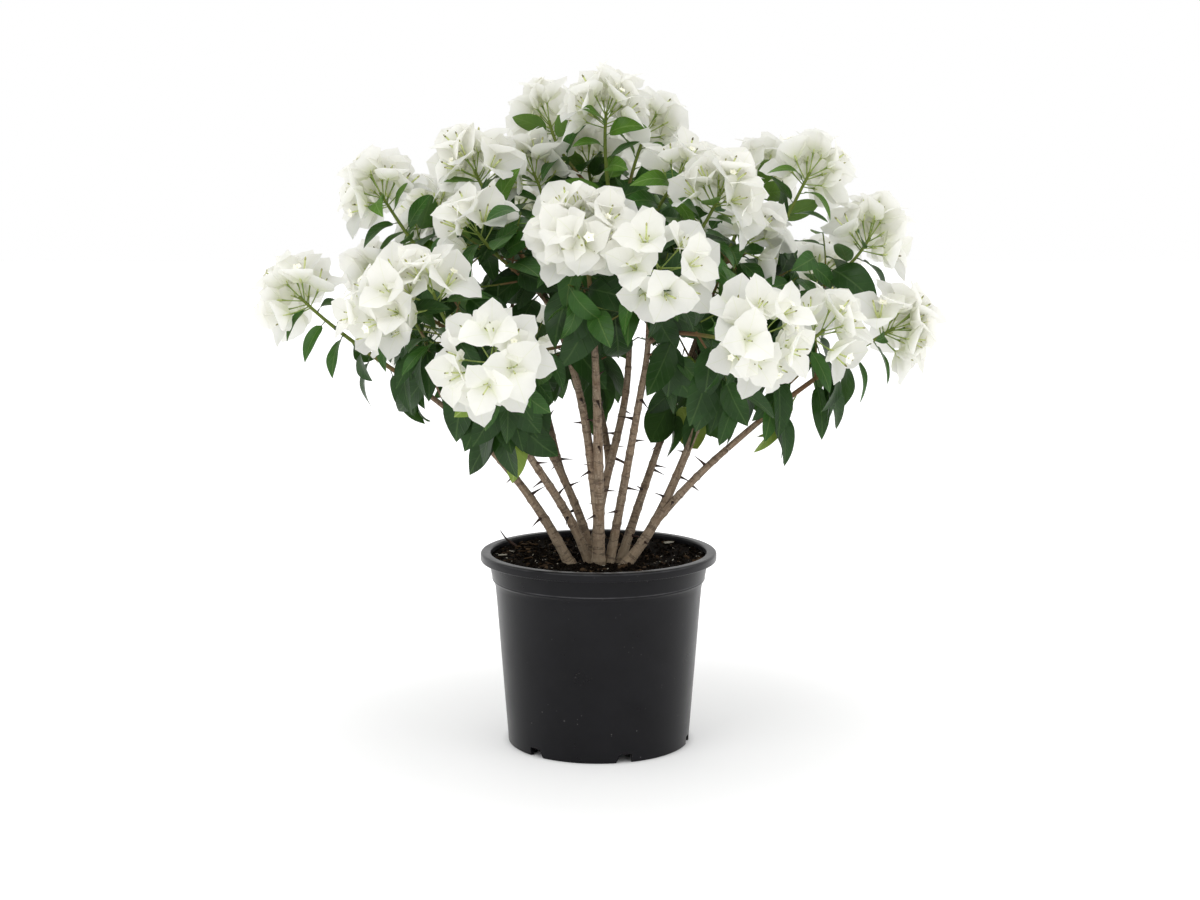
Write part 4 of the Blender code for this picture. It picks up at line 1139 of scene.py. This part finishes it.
def makePlastic():
    material, tree, sockets = newMaterial("pottedPlastic", 0.33, Specular_IOR_Level=0.15, Sheen_Weight=0.07,
                                          Sheen_Roughness=0.4)
    cloud = maskOf(tree, mottle, Scale=24.0, Contrast=1.4)
    flecks = maskOf(tree, specks, Scale=230.0, Size=0.15, Share=0.05)
    scuffs = maskOf(tree, specks, Scale=85.0, Size=0.08, Share=0.05)
    height = axesOf(tree, objectPoint(tree))["Z"]
    atFoot = mathNode(tree, "MULTIPLY_ADD", rampNode(tree, height, potLook["dustTop"], potLook["dustLow"]), 0.9, 0.25)
    dust = times(tree, mathNode(tree, "MAXIMUM", flecks, scuffs), atFoot)
    colour = mixColours(tree, cloud, potLook["dark"], potLook["pale"])
    colour = tinted(tree, colour, dust, 0.26, potLook["dust"])
    beadAt = pot["height"] - pot["lipDepth"] - pot["collarDepth"] + 0.0046
    for at, width, share in ((pot["height"] - 0.0012, 0.0014, 0.22), (beadAt, 0.0010, 0.30)):  # painted highlight lines on the lip's top edge and on the bead under the collar
        paintedHighlight = times(tree, rampNode(tree, distanceFrom(tree, height, at), width, 0.0), cloud)
        colour = tinted(tree, colour, paintedHighlight, share, potLook["paintedHighlight"])
    tree.links.new(colour, sockets["Base Color"])
    tree.links.new(mathNode(tree, "MULTIPLY_ADD", cloud, 0.10, 0.27), sockets["Roughness"])
    grain = addNode(tree, "ShaderNodeTexNoise", {"Vector": objectPoint(tree), "Scale": 900.0, "Detail": 2.0})
    bumped(tree, sockets, grain.outputs["Fac"], 0.00012, 0.35)
    return material


potPiece = makePot(makePlastic())
print("pot has", len(potPiece.data.polygons), "faces")


# soil

soil = {"top": 0.196, "edge": 0.199, "flat": 0.056, "radius": 0.1136, "rings": 44, "spokes": 132, "relief": 0.0030,
        "depth": 0.020, "edgeFree": 0.003, "footFree": 0.007, "lumpRise": 0.001,
        "lumps": ((0.0767, 0.070, 0.4, 0.0110), (-0.1020, 0.002, 0.1, 0.0095), (-0.0930, 0.026, 2.4, 0.0070))}
litter = {  # count, sizes, how far each one is raised as a share of its size, and how far it may tilt
    "soilCrumbs": (1600, (0.0016, 0.0050), 0.15, 3.0), "soilChips": (260, (0.0035, 0.0110), 0.10, 0.6),
    "soilFlecks": (140, (0.0012, 0.0032), 0.25, 0.6)}
crumbShape = {"flat": (0.9, 0.7, 0.55), "shove": 0.55, "scale": 2.3}
chipShape = {"count": 3, "deep": 0.36, "high": 0.14, "shove": 0.14, "bevel": 0.03}
dryTwig = {"start": (-0.0880, 0.053, 0.195), "end": (-0.1070, 0.055, 0.215), "steps": 8, "wave": 0.0012,
           "radius": 0.0022, "taper": 0.00022}


def soilHeight(x, y):
    reach = math.hypot(x, y)
    base = soil["top"] + (soil["edge"] - soil["top"]) * max(0, reach - soil["flat"]) / (soil["radius"] - soil["flat"])
    coarse = noise.fractal(Vector((x, y, 0.4)) * 42, 1.0, 2.0, 3)
    fine = noise.fractal(Vector((x, y, 1.7)) * 170, 0.9, 2.0, 3)
    return base + soil["relief"] * (0.55 * coarse + 0.45 * fine)


def makeSoil(material):
    bm = bmesh.new()
    rows = [[bm.verts.new((0, 0, soilHeight(0, 0)))]]
    for ring in range(1, soil["rings"] + 1):
        reach = soil["radius"] * ring / soil["rings"]
        spots = [(reach * math.cos(turn), reach * math.sin(turn)) for turn in turnsOf(soil["spokes"])]
        rows.append([bm.verts.new((x, y, soilHeight(x, y))) for x, y in spots])
    rim = rows[-1]
    rows.append([bm.verts.new((v.co.x * 0.955, v.co.y * 0.955, soil["edge"] - soil["depth"])) for v in rim])
    for spoke in range(soil["spokes"]):
        after = (spoke + 1) % soil["spokes"]
        bm.faces.new((rows[0][0], rows[1][spoke], rows[1][after]))
        for low, high in zip(rows[1:], rows[2:]):
            bm.faces.new((low[spoke], high[spoke], high[after], low[after]))
    bm.faces.new(rows[-1][::-1])
    mesh = meshFrom(bm, "soilBed")
    mesh.materials.append(material)
    return newObject("soilBed", mesh)


def crumbMesh(index, flat):
    bm = bmesh.new()
    bmesh.ops.create_icosphere(bm, subdivisions=1, radius=0.5)
    for vertex in bm.verts:
        shove = noise.noise(vertex.co * crumbShape["scale"] + Vector((index * 3.1, 0, 0)))
        vertex.co *= 1 + crumbShape["shove"] * shove
        vertex.co.z *= flat
    return meshFrom(bm, f"crumbShape{index}", isSmooth=False)


def chipMesh(index):
    bm = bmesh.new()
    bmesh.ops.create_cube(bm, size=1)
    for vertex in bm.verts:
        vertex.co = Vector((vertex.co.x, vertex.co.y * chipShape["deep"], vertex.co.z * chipShape["high"]))
        vertex.co += noise.noise_vector(vertex.co * 2 + Vector((index * 5.7, 1, 2))) * chipShape["shove"]
    bmesh.ops.bevel(bm, geom=bm.edges[:], offset=chipShape["bevel"], segments=1, affect="EDGES")
    return meshFrom(bm, f"chipShape{index}", isSmooth=False)


def strewn(count, sizes, rise, level):  # places on the soil, clear of the canes' feet
    found = []
    feet = [place(*cane["foot"], 0) for cane in canes.values()]
    while len(found) < count:
        turn = chance.uniform(0, math.tau)
        reach = (soil["radius"] - soil["edgeFree"]) * math.sqrt(chance.random())
        x, y = reach * math.cos(turn), reach * math.sin(turn)
        if any(math.hypot(x - foot.x, y - foot.y) < soil["footFree"] for foot in feet):
            continue
        size = chance.uniform(*sizes) ** 2 / sizes[1]
        spin, roll, pitch = (chance.uniform(*limits) for limits in ((0, math.tau), (-level, level), (-level, level)))
        tilt = Matrix.Rotation(spin, 3, "Z") @ Matrix.Rotation(roll, 3, "X") @ Matrix.Rotation(pitch, 3, "Y")
        found.append((Vector((x, y, soilHeight(x, y) + size * rise)), tilt, size, chance.randrange(3)))
    return found


gritLooks = [  # name, roughness, dark and pale colour, scale and contrast
    ("pottingSoil", 0.9, (0.0006, 0.0005, 0.0004, 1), (0.014, 0.0095, 0.006, 1), 380.0, 2.4),
    ("barkChips", 0.8, (0.004, 0.003, 0.002, 1), (0.080, 0.050, 0.028, 1), 110.0, 2.2),
    ("paleFlecks", 0.8, (0.18, 0.16, 0.12, 1), (0.52, 0.49, 0.42, 1), 150.0, 1.6)]
gritMaterials = [mottledMaterial(*look, relief=0.0008, Specular_IOR_Level=0.04) for look in gritLooks]
soilPiece = makeSoil(gritMaterials[0])
crumbStore = shapeStore("crumbShapes", [crumbMesh(index, flat) for index, flat in enumerate(crumbShape["flat"])])
chipStore = shapeStore("chipShapes", [chipMesh(index) for index in range(chipShape["count"])])
lumps = [(Vector((x, y, soilHeight(x, y) + soil["lumpRise"])), Matrix.Rotation(turn, 3, "Z"), size, 1)
         for x, y, turn, size in soil["lumps"]]  # single pale pieces of bark
litterPieces = []
for name, store, material in zip(litter, (crumbStore, chipStore, chipStore), gritMaterials):
    found = strewn(*litter[name]) + (lumps if name == "soilFlecks" else [])
    litterPieces.append(sprayPiece(name, found, store, material))

twigStart, twigEnd, twigSteps = Vector(dryTwig["start"]), Vector(dryTwig["end"]), range(dryTwig["steps"] + 1)
twigPath = [twigStart.lerp(twigEnd, step / dryTwig["steps"]) + up * dryTwig["wave"] * math.sin(step * 0.9)
            for step in twigSteps]
twigStrand = {"points": twigPath, "radii": [dryTwig["radius"] - dryTwig["taper"] * step for step in twigSteps],
              "youth": [0.1 for step in twigSteps]}
twigPiece = stemPiece("litterTwig", [twigStrand], thornMaterial, sides=7, relief=0.0003, grain=500.0)


# what rides on what

masses = ["mass_" + name for name in heads]
barkNodes = ["cane_" + name for name in canes] + ["limb_" + name for name in limbs]
riders = [
    ("bark", barkNodes, [canePiece, thornPiece]), ("bark", masses, [shootPiece]),
    ("foliage", masses, [pedicelPiece, bractPiece, *flowerPieces]), ("pot", ["pot"], [potPiece]),
    ("soil", ["soil"], [soilPiece, *litterPieces]), ("bark", ["soil"], [twigPiece]),
    ("foliage", masses, leafPieces)]
for slot, nodes, pieces in riders:
    for piece in pieces:
        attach(piece, "root")
        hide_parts(*nodes)
print("faces in all:", sum(len(piece.data.polygons) for slot, nodes, pieces in riders for piece in pieces))


# floor, light and camera

studio = {"sky": 1.03, "floor": 0.80, "lift": 0.50, "nearLift": 0.36, "underEdge": 0.105, "underFade": 0.012,
          "clearFrom": 0.20, "clearAt": 0.75, "lampSize": 1.6, "aim": Vector((0, 0, 0.4)), "lens": 60,
          "sensor": 36, "aside": 0.0015, "down": 0.1444}
lamps = {"keyLight": ((-1.3, -1.6, 2.4), 20.0), "fillLight": ((1.8, -1.2, 1.8), 10.0)}  # place and power


def grey(value):
    return value, value, value, 1


floorMesh = bpy.data.meshes.new("floor")
floorMesh.from_pydata([(-6, -6, 0), (6, -6, 0), (6, 10, 0), (-6, 10, 0)], [], [(0, 1, 2, 3)])
floor = newObject("floor", floorMesh)
floorMaterial, floorTree, floorSockets = newMaterial("paleFloor", 0.7, Emission_Strength=studio["lift"])
floorSockets["Base Color"].default_value = grey(studio["floor"])
fromPot = addNode(floorTree, "ShaderNodeVectorMath", {0: objectPoint(floorTree)}, operation="LENGTH").outputs["Value"]
cleared = rampNode(floorTree, fromPot, studio["clearFrom"], studio["clearAt"])
lifted = mixColours(floorTree, cleared, grey(studio["nearLift"]), grey(1))
underPot = rampNode(floorTree, fromPot, studio["underEdge"], studio["underEdge"] - studio["underFade"])
floorTree.links.new(mixColours(floorTree, underPot, lifted, grey(0)),
                    floorSockets["Emission Color"])  # only the shadow at the pot's foot stays on the white
floorMesh.materials.append(floorMaterial)

world = bpy.data.worlds.new("studio")
bpy.context.scene.world = world
world.use_nodes = True
worldTree = world.node_tree
skyNode = worldTree.nodes["Background"]
skyNode.inputs["Color"].default_value = grey(1)
skyNode.inputs["Strength"].default_value = studio["sky"]
backdrop = addNode(worldTree, "ShaderNodeBackground", {"Color": grey(1), "Strength": 1.0})
seen = worldTree.nodes.new("ShaderNodeLightPath")  # the backdrop is white, the light from it is set apart
skyMix = addNode(worldTree, "ShaderNodeMixShader", {
    0: seen.outputs["Is Camera Ray"], 1: skyNode.outputs["Background"], 2: backdrop.outputs["Background"]})
worldTree.links.new(skyMix.outputs["Shader"], worldTree.nodes["World Output"].inputs["Surface"])

for name, (at, power) in lamps.items():
    data = bpy.data.lights.new(name, "AREA")
    data.shape, data.size, data.energy = "DISK", studio["lampSize"], power
    lamp = newObject(name, data)
    lamp.location = at
    lamp.rotation_euler = (studio["aim"] - lamp.location).to_track_quat("-Z", "Y").to_euler()

camera = newObject("camera", bpy.data.cameras.new("camera"))
camera.data.lens, camera.data.sensor_width = studio["lens"], studio["sensor"]
camera.location = eye + Vector((studio["aside"], 0, 0))
camera.rotation_euler = (math.pi / 2 - studio["down"], 0, 0)
bpy.context.scene.camera = camera
bpy.context.scene.view_settings.view_transform = "Standard"
